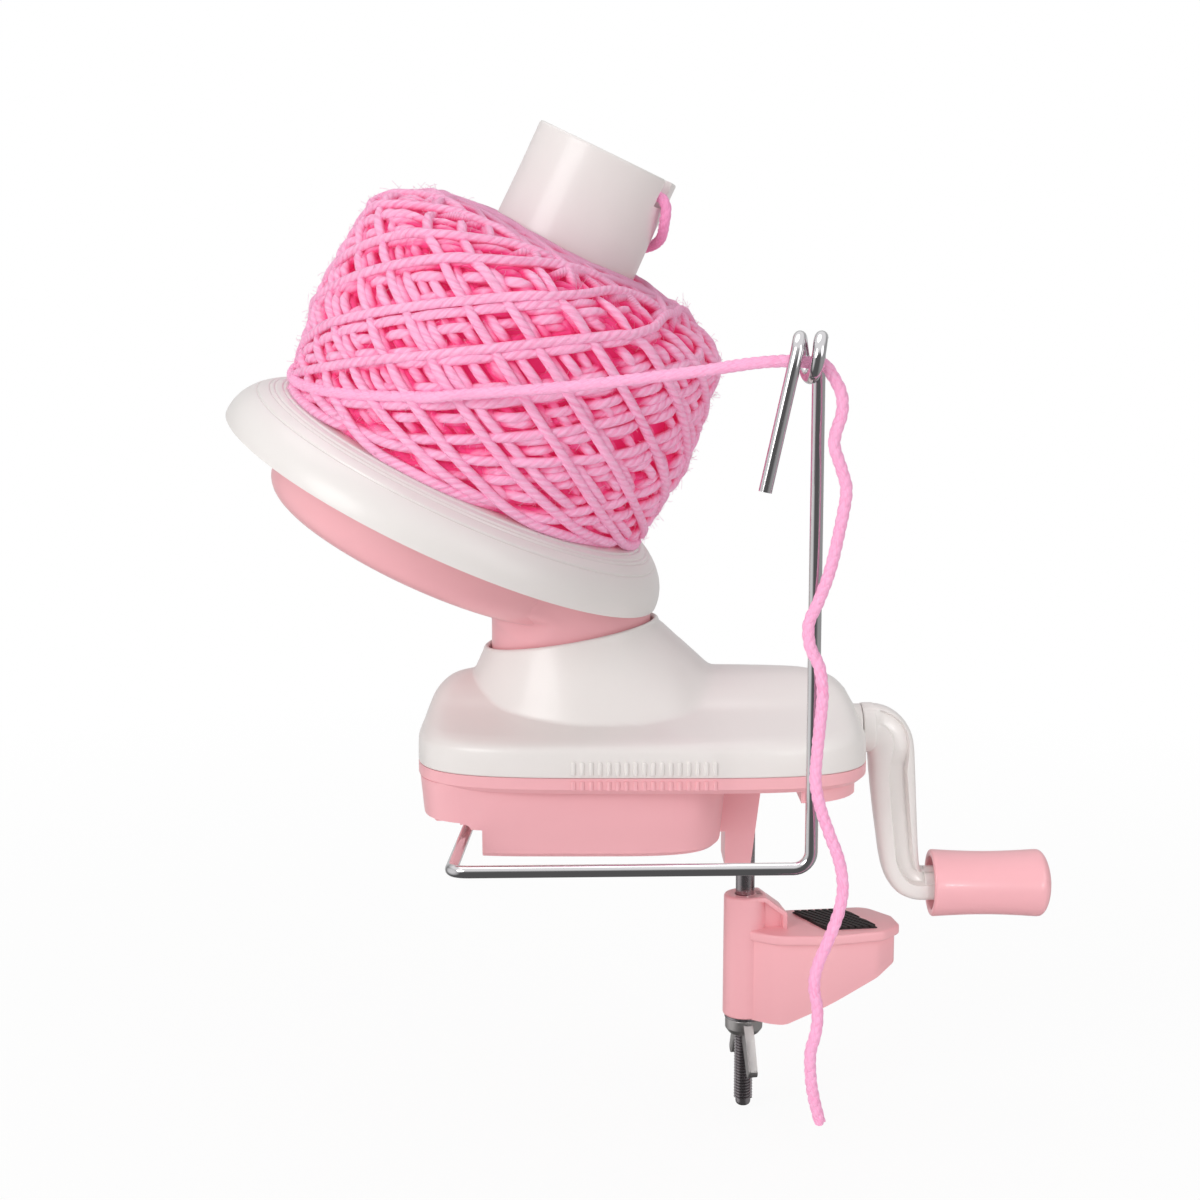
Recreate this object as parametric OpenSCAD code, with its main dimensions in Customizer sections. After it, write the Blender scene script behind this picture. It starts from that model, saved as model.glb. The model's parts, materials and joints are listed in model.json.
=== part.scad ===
// Hand-cranked yarn ball winder: a leaning spool on a turning turret, a wire yarn guide and a table clamp.
// Sizes are in millimetres. Z rises from the table top, X points to the crank, and the upright axis of the
// turret is at X = 0, Y = 0. Places along the leaning spool are given as depths below the point where the
// two axes meet.

/* [Axes] */
// Lean of the spool from the upright, in degrees
spool_tilt = 26; // [24:0.5:28]
// Direction in which the spool's top leans, in degrees from the crank side
spool_azimuth = -12; // [-30:1:30]
// Gap between the collar's high side and the lowest edge of the flange
flange_clearance = 1.2; // [0.8:0.1:3]

/* [Housing] */
// Distance of the housing's crank end from the turret axis
housing_reach = 75.5; // [73:0.5:79]
// Depth of the housing from front to back
housing_depth = 76; // [72:0.5:84]
// Overhang of the band past the tub's end on the guide side
band_overhang = 0.5; // [0.3:0.1:2]
// Height of the tub under the band
tub_height = 17; // [16.5:0.1:17.5]
// Height of the band round the tub's top
band_height = 4; // [3.5:0.1:4.5]
// Length of the tub
tub_length = 78.5; // [76:0.5:80]
// Depth of the tub from front to back
tub_depth = 69; // [66:0.5:72]
// Distance of the table's edge from the turret axis
edge_stop = 40; // [38:0.5:42]
// Squareness of the tub's outline; 2 is an ellipse
tub_squareness = 4.4; // [4:0.1:6]
// Height of the cover above the band
cover_height = 21; // [20:0.5:23]
// Wall of the moulded shells
wall = 2; // [1.6:0.1:2.4]
// Number of grip ribs on the front
rib_count = 17; // [9:2:21]
// Spacing of the grip ribs
rib_pitch = 2.15; // [1.6:0.05:2.4]
// Radius of a grip rib
rib_radius = 0.6; // [0.4:0.05:0.8]
// Diameter of the housing screws
housing_screw = 3; // [2.5:0.1:3.5]
// Diameter of a screw boss
screw_boss = 7.2; // [6.6:0.1:8]

/* [Collar] */
// Height of the collar's low side above the crank shaft
collar_low_rise = 22; // [20.5:0.5:23]
// Height of the collar's high side above the crank shaft
collar_high_rise = 29.6; // [28:0.2:31]
// Thickness of the collar at its rim
collar_rim = 1.5; // [1.2:0.1:2]
// Reach of the collar's foot from the turret axis towards the crank
collar_foot_reach = 53.1; // [50:0.1:56]
// Half depth of the collar's foot
collar_foot_depth = 31; // [29:0.2:33]
// Distance of the collar's foot from the housing's end on the guide side
collar_foot_inset = 7.3; // [4:0.1:9]

/* [Turret] */
// Radius of the neck
neck_radius = 20.6; // [19:0.1:21.5]
// Gap between neck and collar
neck_gap = 0.7; // [0.4:0.1:1.5]
// Gap between the crown gear and the neck's underside
crown_gap = 1.4; // [1:0.1:2.5]
// Radius of the bowl
bowl_radius = 45.5; // [44:0.1:47]
// Depth of the bowl's lip below the meeting point of the axes
bowl_lip = 71; // [70:0.5:73]
// Height of the bowl along the spool axis
bowl_height = 19.7; // [19.5:0.1:19.9]
// Rounding of the bowl's lower edge
bowl_edge = 6; // [3:0.5:8]
// Diameter of the upright post
post_diameter = 6; // [5.6:0.1:6.4]
// Diameter of the turret's stem
stem_diameter = 11; // [10.4:0.1:11.4]

/* [Spool] */
// Radius of the spool's open top
spool_top_radius = 18.8; // [17.5:0.1:20]
// Radius of the spool at the flange
spool_root_radius = 20.6; // [20:0.1:22]
// Reach of the spool's top above the meeting point of the axes
spool_reach = 22.7; // [20:0.1:26]
// Radius of the flange
flange_radius = 61; // [58:0.2:62]
// Depth of the flange's lower edge below the meeting point of the axes
flange_edge = 76.8; // [75.5:0.1:77]
// Drop of the flange from its flat top to its edge
flange_drop = 13.4; // [11:0.1:14.5]
// Radius where the flange starts to fall
flange_flat = 44; // [40:0.5:47]
// Wall of the flange
flange_wall = 1.8; // [1.5:0.1:2.2]
// Diameter of the spool's axle
axle_diameter = 6; // [5.6:0.1:6.4]
// Width of the yarn slot in the spool's rim
slot_width = 4.2; // [3.6:0.1:5]
// Depth of the yarn slot
slot_depth = 7; // [5:0.5:9]

/* [Gears] */
// Teeth of the fixed sun gear
sun_teeth = 14; // [14:1:14]
// Teeth of the spool gear
spool_teeth = 43; // [43:1:43]
// Distance of the bevel gears' large ends from the meeting point of the axes
bevel_distance = 94; // [93.6:0.1:94.4]
// Face width of the bevel gears
bevel_width = 6; // [4:0.5:7]
// Teeth of the turret pinion
pinion_teeth = 12; // [12:1:12]
// Teeth of the crown gear
crown_teeth = 26; // [26:1:26]
// Module of the pinion and the crown gear
gear_module = 1.2; // [1.18:0.01:1.22]
// Face width of the pinion
pinion_width = 4.6; // [4:0.1:5]
// Play between meshing teeth
backlash = 0.35; // [0.3:0.01:0.5]

/* [Crank] */
// Height of the crank shaft
crank_height = 26; // [25.6:0.1:26.4]
// Diameter of the crank shaft
shaft_diameter = 6; // [5.6:0.1:6.2]
// Distance from the crank shaft to the grip's middle
crank_radius = 42; // [40:0.5:46]
// Thickness of the crank arm from front to back
arm_depth = 10; // [8:0.5:12]
// Depth of the groove in the arm's faces
arm_groove = 1.4; // [0.5:0.1:2]
// Diameter of the pin at the arm's lower end
pin_diameter = 8.8; // [8:0.1:9.6]
// Diameter of the spindle in the grip
spindle_diameter = 7; // [6:0.1:7.6]
// Length of the grip without its cap
grip_length = 28.6; // [24:0.2:34]
// Diameter of the grip's ends
grip_diameter = 17.6; // [16:0.1:20]
// Depth of the grip's waist
grip_waist = 0.5; // [0:0.1:1.2]
// Height of the grip cap's dome
grip_dome = 3.1; // [2:0.1:4]

/* [Clamp] */
// Distance of the clamp rod from the turret axis
rod_distance = 46; // [45.6:0.1:46.8]
// Diameter of the clamp rod
rod_diameter = 5; // [4.8:0.1:5.2]
// Depth of the rod's lower end below the table top
rod_reach = 77.5; // [74:0.5:90]
// Depth of the tongue below the table top
tongue_reach = 9.5; // [6:0.5:10.5]
// Width of the tongue from front to back
tongue_width = 16; // [15:0.5:18]
// Depth of the jaw's plate below the table top
jaw_drop = 27.5; // [27:0.5:34]
// Reach of the jaw from the rod
jaw_reach = 41; // [36:0.5:41.5]
// Width of the jaw's plate
jaw_width = 22.5; // [20:0.5:26]
// Thickness of the jaw's plate
jaw_plate = 2.2; // [1.8:0.1:3]
// Diameter of the jaw's boss
jaw_boss = 11.2; // [10.4:0.1:12]
// Height of the jaw's boss above its plate
jaw_boss_rise = 8.6; // [6:0.1:9.5]
// Depth of the jaw's boss below its plate
jaw_boss_drop = 24.5; // [20:0.5:28]
// Turn of the jaw from the crank side as it stands, in degrees
jaw_yaw = 8; // [0:1:12]
// Thickness of the rubber pad
pad_thickness = 1.6; // [1.2:0.1:2]
// Diameter of the wing nut's collar
nut_collar = 10; // [9:0.1:11]
// Height of the wing nut's collar
nut_height = 4.4; // [3.6:0.1:5]
// Span of the wings
wing_span = 22; // [18:0.5:24]
// Length of the wings below the collar
wing_length = 9.6; // [7:0.1:11]

/* [Guide] */
// Diameter of the guide wire
wire_diameter = 2.9; // [2.6:0.1:3]
// Distance of the upright wire from the turret axis towards the crank
guide_upright = 54.6; // [54:0.1:58]
// Distance of the upright wire in front of the turret axis
guide_front = 75; // [75:0.1:78]
// Radius of the wire's bends
guide_bend = 4; // [3.2:0.1:6]
// Height of the middle of the wire's eye
eye_height = 122.4; // [121.8:0.1:122.6]
// Radius of the eye to the middle of the wire
eye_radius = 4.25; // [4.2:0.05:4.6]
// Sideways step of the eye's coil in one turn
eye_pitch = 4.6; // [4.4:0.1:5.2]

/* [Yarn] */
// Diameter of the yarn
yarn_diameter = 2.8; // [2.6:0.1:2.8]
// Turns in each of the two outer layers of the ball
turns_per_layer = 10; // [6:1:11]
// Sideways swing of a turn along the spool
turn_swing = 8.5; // [6:0.5:9]
// Free gap between the two layers
layer_gap = 0.55; // [0.5:0.05:1]

/* [Hidden] */
$fn = 64;
seat_gap = 0.02;
run_gap = 0.05;
play = 0.3;
cut = 0.1;

// Outline work shared by the pieces
function unit(v) = v / norm(v);
function polar(r, a) = [r * cos(a), r * sin(a)];
function signed_power(v, e) = sign(v) * pow(abs(v), e);
function superellipse(hx, hy, n, count) = [
  for (i = [0 : count - 1])
    let (a = 360 * i / count)
      [hx * signed_power(cos(a), 2 / n), hy * signed_power(sin(a), 2 / n)]
];
function ring_at(outline, x, z) = [for (p = outline) [p[0] + x, p[1], z]];
function corner_arc(before, at, after, bend, steps) =
  let (
    a = unit(before - at),
    b = unit(after - at),
    half = acos(a * b) / 2,
    middle = at + unit(a + b) * bend / sin(half),
    first = at + a * bend / tan(half) - middle,
    last = at + b * bend / tan(half) - middle,
    turn = 180 - 2 * half
  )
  [
    for (k = [0 : steps])
      middle + (sin(turn * (1 - k / steps)) * first + sin(turn * k / steps) * last) / sin(turn)
  ];
// Closed outline from corners given as [x, y, rounding]
function rounded_outline(corners, steps = 8) =
  let (n = len(corners))
  [
    for (i = [0 : n - 1])
      let (
        at = [corners[i][0], corners[i][1]],
        before = [corners[(i + n - 1) % n][0], corners[(i + n - 1) % n][1]],
        after = [corners[(i + 1) % n][0], corners[(i + 1) % n][1]]
      )
        each corners[i][2] > 0 ? corner_arc(before, at, after, corners[i][2], steps) : [at]
  ];

module loft(rings) {
  count = len(rings[0]);
  last = len(rings) - 1;
  sides = [
    for (k = [0 : last - 1], i = [0 : count - 1])
      let (j = (i + 1) % count, low = k * count, high = low + count)
        each [[low + i, high + i, high + j], [low + i, high + j, low + j]]
  ];
  bottom = [for (i = [1 : count - 2]) [0, i, i + 1]];
  top = [for (i = [1 : count - 2]) [last * count, last * count + i + 1, last * count + i]];
  polyhedron(points = [for (r = rings) each r], faces = concat(bottom, sides, top));
}

// Tube through a list of points, with one ring at each point
function tangent(path, i) =
  unit(path[min(i + 1, len(path) - 1)] - path[max(i - 1, 0)]);
function square_to(v, t) = unit(v - t * (v * t));
function tube_ring(at, side, t, r, sides) =
  let (other = cross(t, side))
  [for (k = [0 : sides - 1]) at + r * (cos(360 * k / sides) * side + sin(360 * k / sides) * other)];
function tube_rings(path, r, sides, first_side) = [
  for (
    i = 0, side = square_to(first_side, tangent(path, 0));
    i < len(path);
    i = i + 1, side = square_to(side, tangent(path, min(i, len(path) - 1)))
  )
    tube_ring(path[i], side, tangent(path, i), r, sides)
];

module along_y(depth) {
  translate([0, depth / 2, 0]) rotate([90, 0, 0]) linear_extrude(depth) children();
}
module along_x(from, height) {
  translate([from, 0, height]) rotate([0, 90, 0]) children();
}

// Screw with a round head, standing head down at its origin
module screw(diameter, length, head) {
  cylinder(d = head, h = diameter * 0.6);
  translate([0, 0, diameter * 0.6]) cylinder(d = diameter, h = length);
}

// Heights and places in the housing
parting = tub_height + band_height;
tub_left = edge_stop - tub_length;
tub_offset = edge_stop - tub_length / 2;
housing_left = tub_left - band_overhang;
half_length = (housing_reach - housing_left) / 2;
housing_offset = (housing_reach + housing_left) / 2;
half_depth = housing_depth / 2;
outline_points = 64;
collar_points = 48;
band_fillet = 1.2;
tub_draft = 1.6;
ledge_top = tub_height + wall;
screw_left = tub_left + 24.5;
screw_right = housing_reach - 12.5;
screw_side = half_depth - 12;
screw_places = [for (x = [screw_left, screw_right], side = [1, -1]) [x, side * screw_side]];
long_screw_seat = 12;
foot_height = 3.5;
foot_inset = 2.4;
foot_size = 12;
screw_head = housing_screw * 1.9;
screw_bite = 8;
post_radius = post_diameter / 2;
// The pinion's place follows the crown gear that it drives
pinion_radius = gear_module * pinion_teeth / 2;
crown_radius = gear_module * crown_teeth / 2;
crown_outer = crown_radius + 1.4;
post_boss_top = crank_height - crown_radius - 3.6;
post_boss_radius = 6.5;
washer_thickness = 0.8;
shaft_radius = shaft_diameter / 2;

// Roof of the cover as [height above the band, inset along the length, inset along the depth, roundness]
roof_curve = [
  [0, 0, 0, 4],
  [5.4, 0.1, 0, 4],
  [7.2, 0.6, 0.6, 4],
  [8.4, 1.1, 2, 4],
  [9.4, 1.5, 4, 4],
  [13.5, 3, 15, 3.6],
  [16, 4.6, 19, 3.3],
  [18.6, 7.5, 24, 3],
  [20.2, 11.5, 29, 2.8],
  [21, 16.5, 34, 2.6]
];
roof_scale = cover_height / 21;
function roof_ring(step, inset, drop) =
  ring_at(
    superellipse(
      half_length - step[1] - inset, half_depth * (1 - step[2] / 38) - inset, step[3], outline_points
    ),
    housing_offset,
    parting + max(step[0] * roof_scale - drop, drop > 0 ? -cut : 0)
  );
function front_at(x) =
  half_depth * pow(1 - pow(abs(x - housing_offset) / half_length, 4), 1 / 4);

// The collar's rim lies in a slanted plane
collar_low = crank_height + collar_low_rise;
collar_high = crank_height + collar_high_rise;
collar_foot_left = housing_left + collar_foot_inset;
collar_foot_length = (collar_foot_reach - collar_foot_left) / 2;
collar_foot_offset = (collar_foot_reach + collar_foot_left) / 2;
neck_bottom = crank_height + crown_outer + crown_gap;
collar_radius = neck_radius + neck_gap + collar_rim;
collar_foot = 27;
collar_slope = (collar_high - collar_low) / (2 * collar_radius);
function collar_ring(r, drop) = [
  for (i = [0 : collar_points - 1])
    let (p = polar(r, 360 * i / collar_points))
      [p[0], p[1], (collar_high + collar_low) / 2 + collar_slope * p[0] - drop]
];
function collar_foot_ring(inset, height) = [
  for (i = [0 : collar_points - 1])
    let (a = 360 * i / collar_points)
      [
        collar_foot_offset + (collar_foot_length - inset) * cos(a),
        (collar_foot_depth - inset) * sin(a),
        height
      ]
];

// The two axes meet here
flange_low = flange_edge * cos(spool_tilt) + flange_radius * sin(spool_tilt);
apex_height = collar_high + flange_clearance + flange_low;
module on_spool_axis() {
  translate([0, 0, apex_height]) rotate([0, 0, spool_azimuth]) rotate([0, spool_tilt, 0]) children();
}
// A round piece between two depths on the spool axis
module at_depth(depth) {
  on_spool_axis() translate([0, 0, -depth]) children();
}

// Bevel gears that roll on cones about the meeting point
sun_cone = atan(sin(spool_tilt) / (spool_teeth / sun_teeth + cos(spool_tilt)));
spool_cone = spool_tilt - sun_cone;
bevel_module = 2 * bevel_distance * sin(sun_cone) / sun_teeth;
bevel_shrink = (bevel_distance - bevel_width) / bevel_distance;
sun_bottom = apex_height - bevel_distance * cos(sun_cone);
sun_height = bevel_width * cos(sun_cone);
gear_bottom_depth = bevel_distance * cos(spool_cone);
gear_top_depth = gear_bottom_depth - bevel_width * cos(spool_cone);
pressure_angle = 20;
function involute(a) = tan(a) * 180 / PI - a;
function flank_angle(q, pitch_r, teeth) =
  90 / teeth - backlash / 2 / (2 * pitch_r) * 180 / PI + involute(pressure_angle)
  - involute(acos(min(1, pitch_r * cos(pressure_angle) / q)));
// Outline of a gear; a bevel gear's teeth are laid out on its back cone
function gear_outline(teeth, size, cone = 0, steps = 3) =
  let (
    r = size * teeth / 2,
    rv = r / cos(cone),
    nv = teeth / cos(cone),
    tip = rv + size * 0.95,
    root = rv - size * 1.25,
    start = max(root, rv * cos(pressure_angle))
  )
  [
    for (t = [0 : teeth - 1])
      let (
        mid = 360 * t / teeth,
        foot = start > root ? [r + (root - rv) / cos(cone)] : []
      )
        each concat(
          [for (f = foot) polar(f, mid - flank_angle(start, rv, nv) / cos(cone))],
          [
            for (k = [0 : steps])
              let (q = start + (tip - start) * k / steps)
                polar(r + (q - rv) / cos(cone), mid - flank_angle(q, rv, nv) / cos(cone))
          ],
          [
            for (k = [steps : -1 : 0])
              let (q = start + (tip - start) * k / steps)
                polar(r + (q - rv) / cos(cone), mid + flank_angle(q, rv, nv) / cos(cone))
          ],
          [for (f = foot) polar(f, mid + flank_angle(start, rv, nv) / cos(cone))]
        )
  ];

// Turret heights
bowl_bottom = bowl_lip + bowl_height;
neck_wall = wall;
bowl_floor = 1.7;
neck_top_depth = flange_edge + 0.5;
hub_radius = 9;
hub_top = sun_bottom - washer_thickness - 2 * run_gap;
stem_radius = stem_diameter / 2;
spigot_radius = 4;
pinion_bottom = post_boss_top + washer_thickness + 3 * run_gap;
pinion_top = pinion_bottom + pinion_width;
post_top = sun_bottom + sun_height;
axle_radius = axle_diameter / 2;
axle_boss_radius = 8;
axle_boss_top = gear_bottom_depth + play;
axle_screw_diameter = 3;

// Spool depths
flange_top = flange_edge - flange_drop;
hub_top_depth = flange_top - 6;
axle_top_depth = hub_top_depth - play;
gear_seat_radius = 8;
gear_shoulder_radius = 10;
spool_hub_end = gear_bottom_depth;
slot_angle = -15;
function spool_radius(depth) =
  spool_top_radius
  + (spool_root_radius - spool_top_radius) * (depth + spool_reach) / (flange_top + spool_reach);
function flange_curve(r0, rise, fall, d0) = [
  for (a = [0 : 7.5 : 90]) [r0 + rise * sin(a), -(d0 + fall * (1 - cos(a)))]
];

// Crank places
crown_tooth_tip = pinion_radius - gear_module * 0.95;
crown_tooth_root = pinion_radius + gear_module * 1.25;
crown_inner = crown_radius - 1;
crown_back = crown_tooth_root + 3.3;
crown_hub_radius = 6;
crown_tooth_half = (PI * gear_module * (crown_inner / crown_radius - 0.5) - backlash / 2) / 2;
bearing_from = 17.5;
bearing_width = 5;
bearing_half = 7;
bearing_top = crank_height + shaft_radius + 3;
bearing_foot_half = 15;
bearing_foot_height = 2.5;
bearing_screw_place = 11.5;
bush_radius = shaft_radius + 1.2;
bush_length = 9;
bush_boss_radius = bush_radius + 1.8;
housing_end = housing_reach;
crank_gap = 0.4;
arm_from = housing_end + crank_gap;
grip_height = crank_height - crank_radius;
grip_from = arm_from + 19;
spindle_end = grip_from + grip_length - 3.6;
grip_end = grip_from + grip_length;
spindle_radius = spindle_diameter / 2;
pin_radius = pin_diameter / 2;
arm_hub = 13;
arm_end = arm_hub / 2 - 0.3;
arm_foot = pin_radius - 0.3;
arm_screw_seat = 3.5;

// The arm's side outline as [distance from the arm's inner face, height above or below, rounding]
arm_outline = [
  [0, crank_height - arm_end, 0],
  [0, crank_height + arm_end, 1],
  [13.4, crank_height + arm_end + 0.7, 10.5],
  [15.8, grip_height + arm_foot, 1.5],
  [18, grip_height + arm_foot, 0],
  [18, grip_height - arm_foot, 0],
  [7.6, grip_height - arm_foot, 8.5],
  [1.4, crank_height - arm_end, 0]
];
groove_outline = [
  [4.6, crank_height + 0.5, 0],
  [4.4, crank_height + 4, 0],
  [9.2, crank_height + 4.1, 3.5],
  [13.1, grip_height + 2.6, 3.5],
  [17, grip_height + 1.9, 0],
  [17, grip_height + 0.4, 0],
  [10.6, grip_height + 0.6, 4],
  [5.6, crank_height - 2, 3]
];

// The rod hangs from its nut, which sits just under the crank shaft
rod_radius = rod_diameter / 2;
rod_nut_height = 2.7;
rod_nut_size = 8.8;
rod_proud = 0.5;
rod_clearance = 0.8;
rod_top = crank_height - shaft_radius - rod_clearance;
rod_seat = rod_top - rod_proud - rod_nut_height;
rod_boss_radius = 7;

// Clamp depths
tongue_wall = 2.4;
tongue_top_length = 10;
tongue_foot_length = 6.6;
jaw_top = -jaw_drop;
boss_top = jaw_top + jaw_boss_rise;
boss_bottom = jaw_top - jaw_boss_drop;
jaw_boss_radius = jaw_boss / 2;
jaw_skirt_inset = 1.2;
jaw_wall = 1.8;
jaw_end_drop = 9.5;
clamp_washer_thickness = 0.6;
washer_top = boss_bottom - run_gap;
washer_bottom = washer_top - clamp_washer_thickness;
nut_top = washer_bottom - run_gap;
wing_thickness = 2.4;
fence_reach = 10.5;
fence_half = 5;
pad_from = 15;
pad_to = 34;
pad_half = 8;
pad_slant = 5;
pad_sink = 0.8;
pad_rib_pitch = 1.9;
pad_rib_height = 0.5;

// Guide route
wire_radius = wire_diameter / 2;
pivot_x = tub_left + 12.5;
pivot_y = -4;
pivot_height = 2.6;
wall_height = 5;
run_start_height = 8.4;
run_end_height = 9.2;
tub_front = 1 - tub_depth / 2;
tooth_height = wall_height + wire_radius + 0.35;
notch_radius = 1.75;
notch_places = [pivot_x, pivot_x - 4.9];
recess_ceiling = 8.3;
recess_right = pivot_x + 4.5;
recess_back = 3;
pivot_boss_top = 15;
pivot_boss_radius = 4;
pivot_top = 17;
clip_thickness = 0.8;
clip_radius = 4;
eye_front = guide_front + eye_radius;
eye_tail = [42.6, -eye_front - eye_radius, 94];
eye_last = 520;
function eye_point(a) = [
  guide_upright - eye_pitch * max(0, a - 90) / 360,
  -eye_front + eye_radius * cos(a),
  eye_height + eye_radius * sin(a)
];
guide_corners = [
  [pivot_x, pivot_y, pivot_height],
  [pivot_x, -guide_front, run_start_height],
  [guide_upright, -guide_front, run_end_height]
];
guide_route = concat(
  [[pivot_x, pivot_y, pivot_height + 2 * guide_bend]],
  corner_arc([pivot_x, pivot_y, pivot_top], guide_corners[0], guide_corners[1], guide_bend, 5),
  [[pivot_x, tub_front, wall_height]],
  corner_arc(guide_corners[0], guide_corners[1], guide_corners[2], guide_bend, 5),
  corner_arc(guide_corners[1], guide_corners[2], eye_point(0), guide_bend, 5),
  [for (a = [0 : 20 : eye_last]) eye_point(a)],
  [eye_tail + (eye_point(eye_last) - eye_tail) * 0.5, eye_tail]
);

// Yarn on the spool: radius of the plain core at depths below the meeting point
core_curve = [
  [2.6, 19.6], [3.4, 24], [6.4, 33], [10.5, 39.4], [16, 43], [26, 45.4], [40, 46.4], [52, 45], [63.3, 43.6]
];
yarn_radius = yarn_diameter / 2;
first_layer = yarn_radius + 0.65;
layer_step = yarn_diameter + layer_gap;
wind_high = 17;
wind_low = 53;
wind_total = 2 * turns_per_layer;
loop_rings = 24;
function layer_share(u) =
  let (f = max(0, min(1, (u - turns_per_layer + 0.25) / 0.5)))
  f * f * (3 - 2 * f);
// The swing fades out and turns over where the upper layer starts
function swing(u) = max(-1, min(1, (turns_per_layer - u) / 1.5));
function wind_depth(u) =
  wind_low + (wind_high - wind_low) * (1 - abs(u - turns_per_layer) / turns_per_layer)
  - turn_swing * (1 - abs(swing(u))) + turn_swing * swing(u) * cos(360 * u);
function core_slope(d) = (lookup(d + 2, core_curve) - lookup(d - 2, core_curve)) / 4;
function wind_point(u) =
  let (
    d = wind_depth(u),
    out = unit([1, -core_slope(d)]),
    lift = first_layer + layer_step * layer_share(u),
    r = lookup(d, core_curve) + lift * out[0]
  )
  [r * cos(360 * u), r * sin(360 * u), -d - lift * out[1]];
wind_middle = [for (i = [0 : wind_total * loop_rings]) wind_point(i / loop_rings)];
wind_count = len(wind_middle);
wind_path = concat(
  [wind_middle[0] - unit(wind_middle[1] - wind_middle[0]) * yarn_diameter],
  wind_middle,
  [
    wind_middle[wind_count - 1]
    + unit(wind_middle[wind_count - 1] - wind_middle[wind_count - 2]) * yarn_diameter
  ]
);
function wind_ring(i) =
  let (t = tangent(wind_path, i), p = wind_path[i])
  tube_ring(p, square_to([p[0], p[1], 0], t), t, yarn_radius, 6);
// Least gap of the winding to itself, between points at least half a turn apart
wind_gap = min([
  for (i = [0 : 2 : wind_count - 1], j = [i + loop_rings / 2 : 1 : wind_count - 1])
    norm(wind_middle[i] - wind_middle[j])
]) - yarn_diameter;
echo(least_gap_of_the_winding = wind_gap);

// Routes of the loose yarn
tuck_route = [
  [13.6, 16.6], [16.4, 18.6], [19, 18.8], [21.2, 17], [22.2, 13], [22.3, 8.5], [21.9, 4], [21.6, 0.5]
];
feed_route = [
  [-31, -48.6, 113.2], [-24, -50, 113.8], [-16, -52, 114.4], [-8, -54.2, 115], [0, -56.6, 115.7],
  [8, -59.2, 116.6], [16, -62.2, 117.6], [24, -65.4, 118.6], [31, -68.6, 119.6], [37, -72, 120.6],
  [42, -75.2, 121.3], [46, -77.6, 121.6], [49, -79, 121.6], [51, -79.3, 121.4], [53.2, -79.3, 121.2]
];
tail_route = [
  [53.9, -79.3, 121.2], [55.6, -79.3, 120.6], [57.4, -79.3, 118], [59, -79.3, 114.6], [59.2, -79.3, 110.6],
  [58, -79.3, 106.6], [57.7, -79.3, 103.4], [59.4, -79.3, 98.4], [60.4, -79.3, 94.4], [59.8, -79.3, 89],
  [58.4, -79.3, 82], [57, -79.3, 76], [54.8, -79.3, 70], [52.8, -79.3, 65], [53.2, -79.3, 60],
  [55.2, -79.3, 55.6], [56, -79.3, 50], [55.6, -79.3, 43], [55, -79.3, 36], [54.8, -79.3, 30],
  [56, -79.3, 24], [58, -79.3, 18.4], [60.2, -79.3, 12.4], [61.2, -79.3, 6.4], [60.4, -79.3, 0.6],
  [58.4, -79.3, -5.4], [56, -79.3, -11.4], [55.2, -79.3, -16.4], [56, -79.3, -22], [55.8, -79.3, -27],
  [54.6, -79.3, -32], [54.8, -79.3, -38], [55.6, -79.3, -43], [57, -79.3, -48.4]
];

module tub_solid(inset) {
  foot = inset > 0 ? wall : 0;
  top = inset > 0 ? parting + cut : tub_height + wall / 2;
  loft([
    for (step = [[tub_draft + 1, foot], [tub_draft, foot + 1], [0, top]])
      let (hx = tub_length / 2 - inset - step[0], hy = tub_depth / 2 - inset - step[0])
        ring_at(superellipse(hx, hy, tub_squareness, outline_points), tub_offset, step[1])
  ]);
}

module band_solid() {
  loft([
    for (step = [[band_fillet, tub_height], [0, tub_height + band_fillet], [0, parting]])
      let (hx = half_length - step[0], hy = half_depth - step[0])
        ring_at(superellipse(hx, hy, 4, outline_points), housing_offset, step[1])
  ]);
}

module band_hollow() {
  outline = superellipse(half_length - wall, half_depth - wall, 4, outline_points);
  loft([ring_at(outline, housing_offset, ledge_top), ring_at(outline, housing_offset, parting + cut)]);
}

// Row of half-round ribs on the front between two heights
module grip_ribs(from, to) {
  for (i = [0 : rib_count - 1]) {
    x = housing_offset + (i - (rib_count - 1) / 2) * rib_pitch;
    translate([x, -front_at(x) + rib_radius * 0.2, from]) cylinder(r = rib_radius, h = to - from, $fn = 8);
  }
}

// Space under the tub's front left corner in which the guide wire swings
module guide_recess(grow) {
  outside = 60;
  translate([-outside, tub_front + wall - grow, -cut])
    cube([
      outside + recess_right + grow,
      recess_back - tub_front - wall + 2 * grow,
      recess_ceiling + cut + grow
    ]);
}

module tongue() {
  outline = [
    [edge_stop - wall, ledge_top - wall / 2],
    [edge_stop + tongue_top_length, ledge_top - wall / 2],
    [edge_stop + tongue_foot_length, -tongue_reach],
    [edge_stop, -tongue_reach],
    [edge_stop, 0],
    [edge_stop - wall, 0]
  ];
  difference() {
    along_y(tongue_width) polygon(outline);
    translate([edge_stop + tongue_wall, -tongue_width / 2 + tongue_wall, -tongue_reach - cut])
      cube([tongue_top_length, tongue_width - 2 * tongue_wall, tongue_reach + tub_height + cut]);
  }
}

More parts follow.
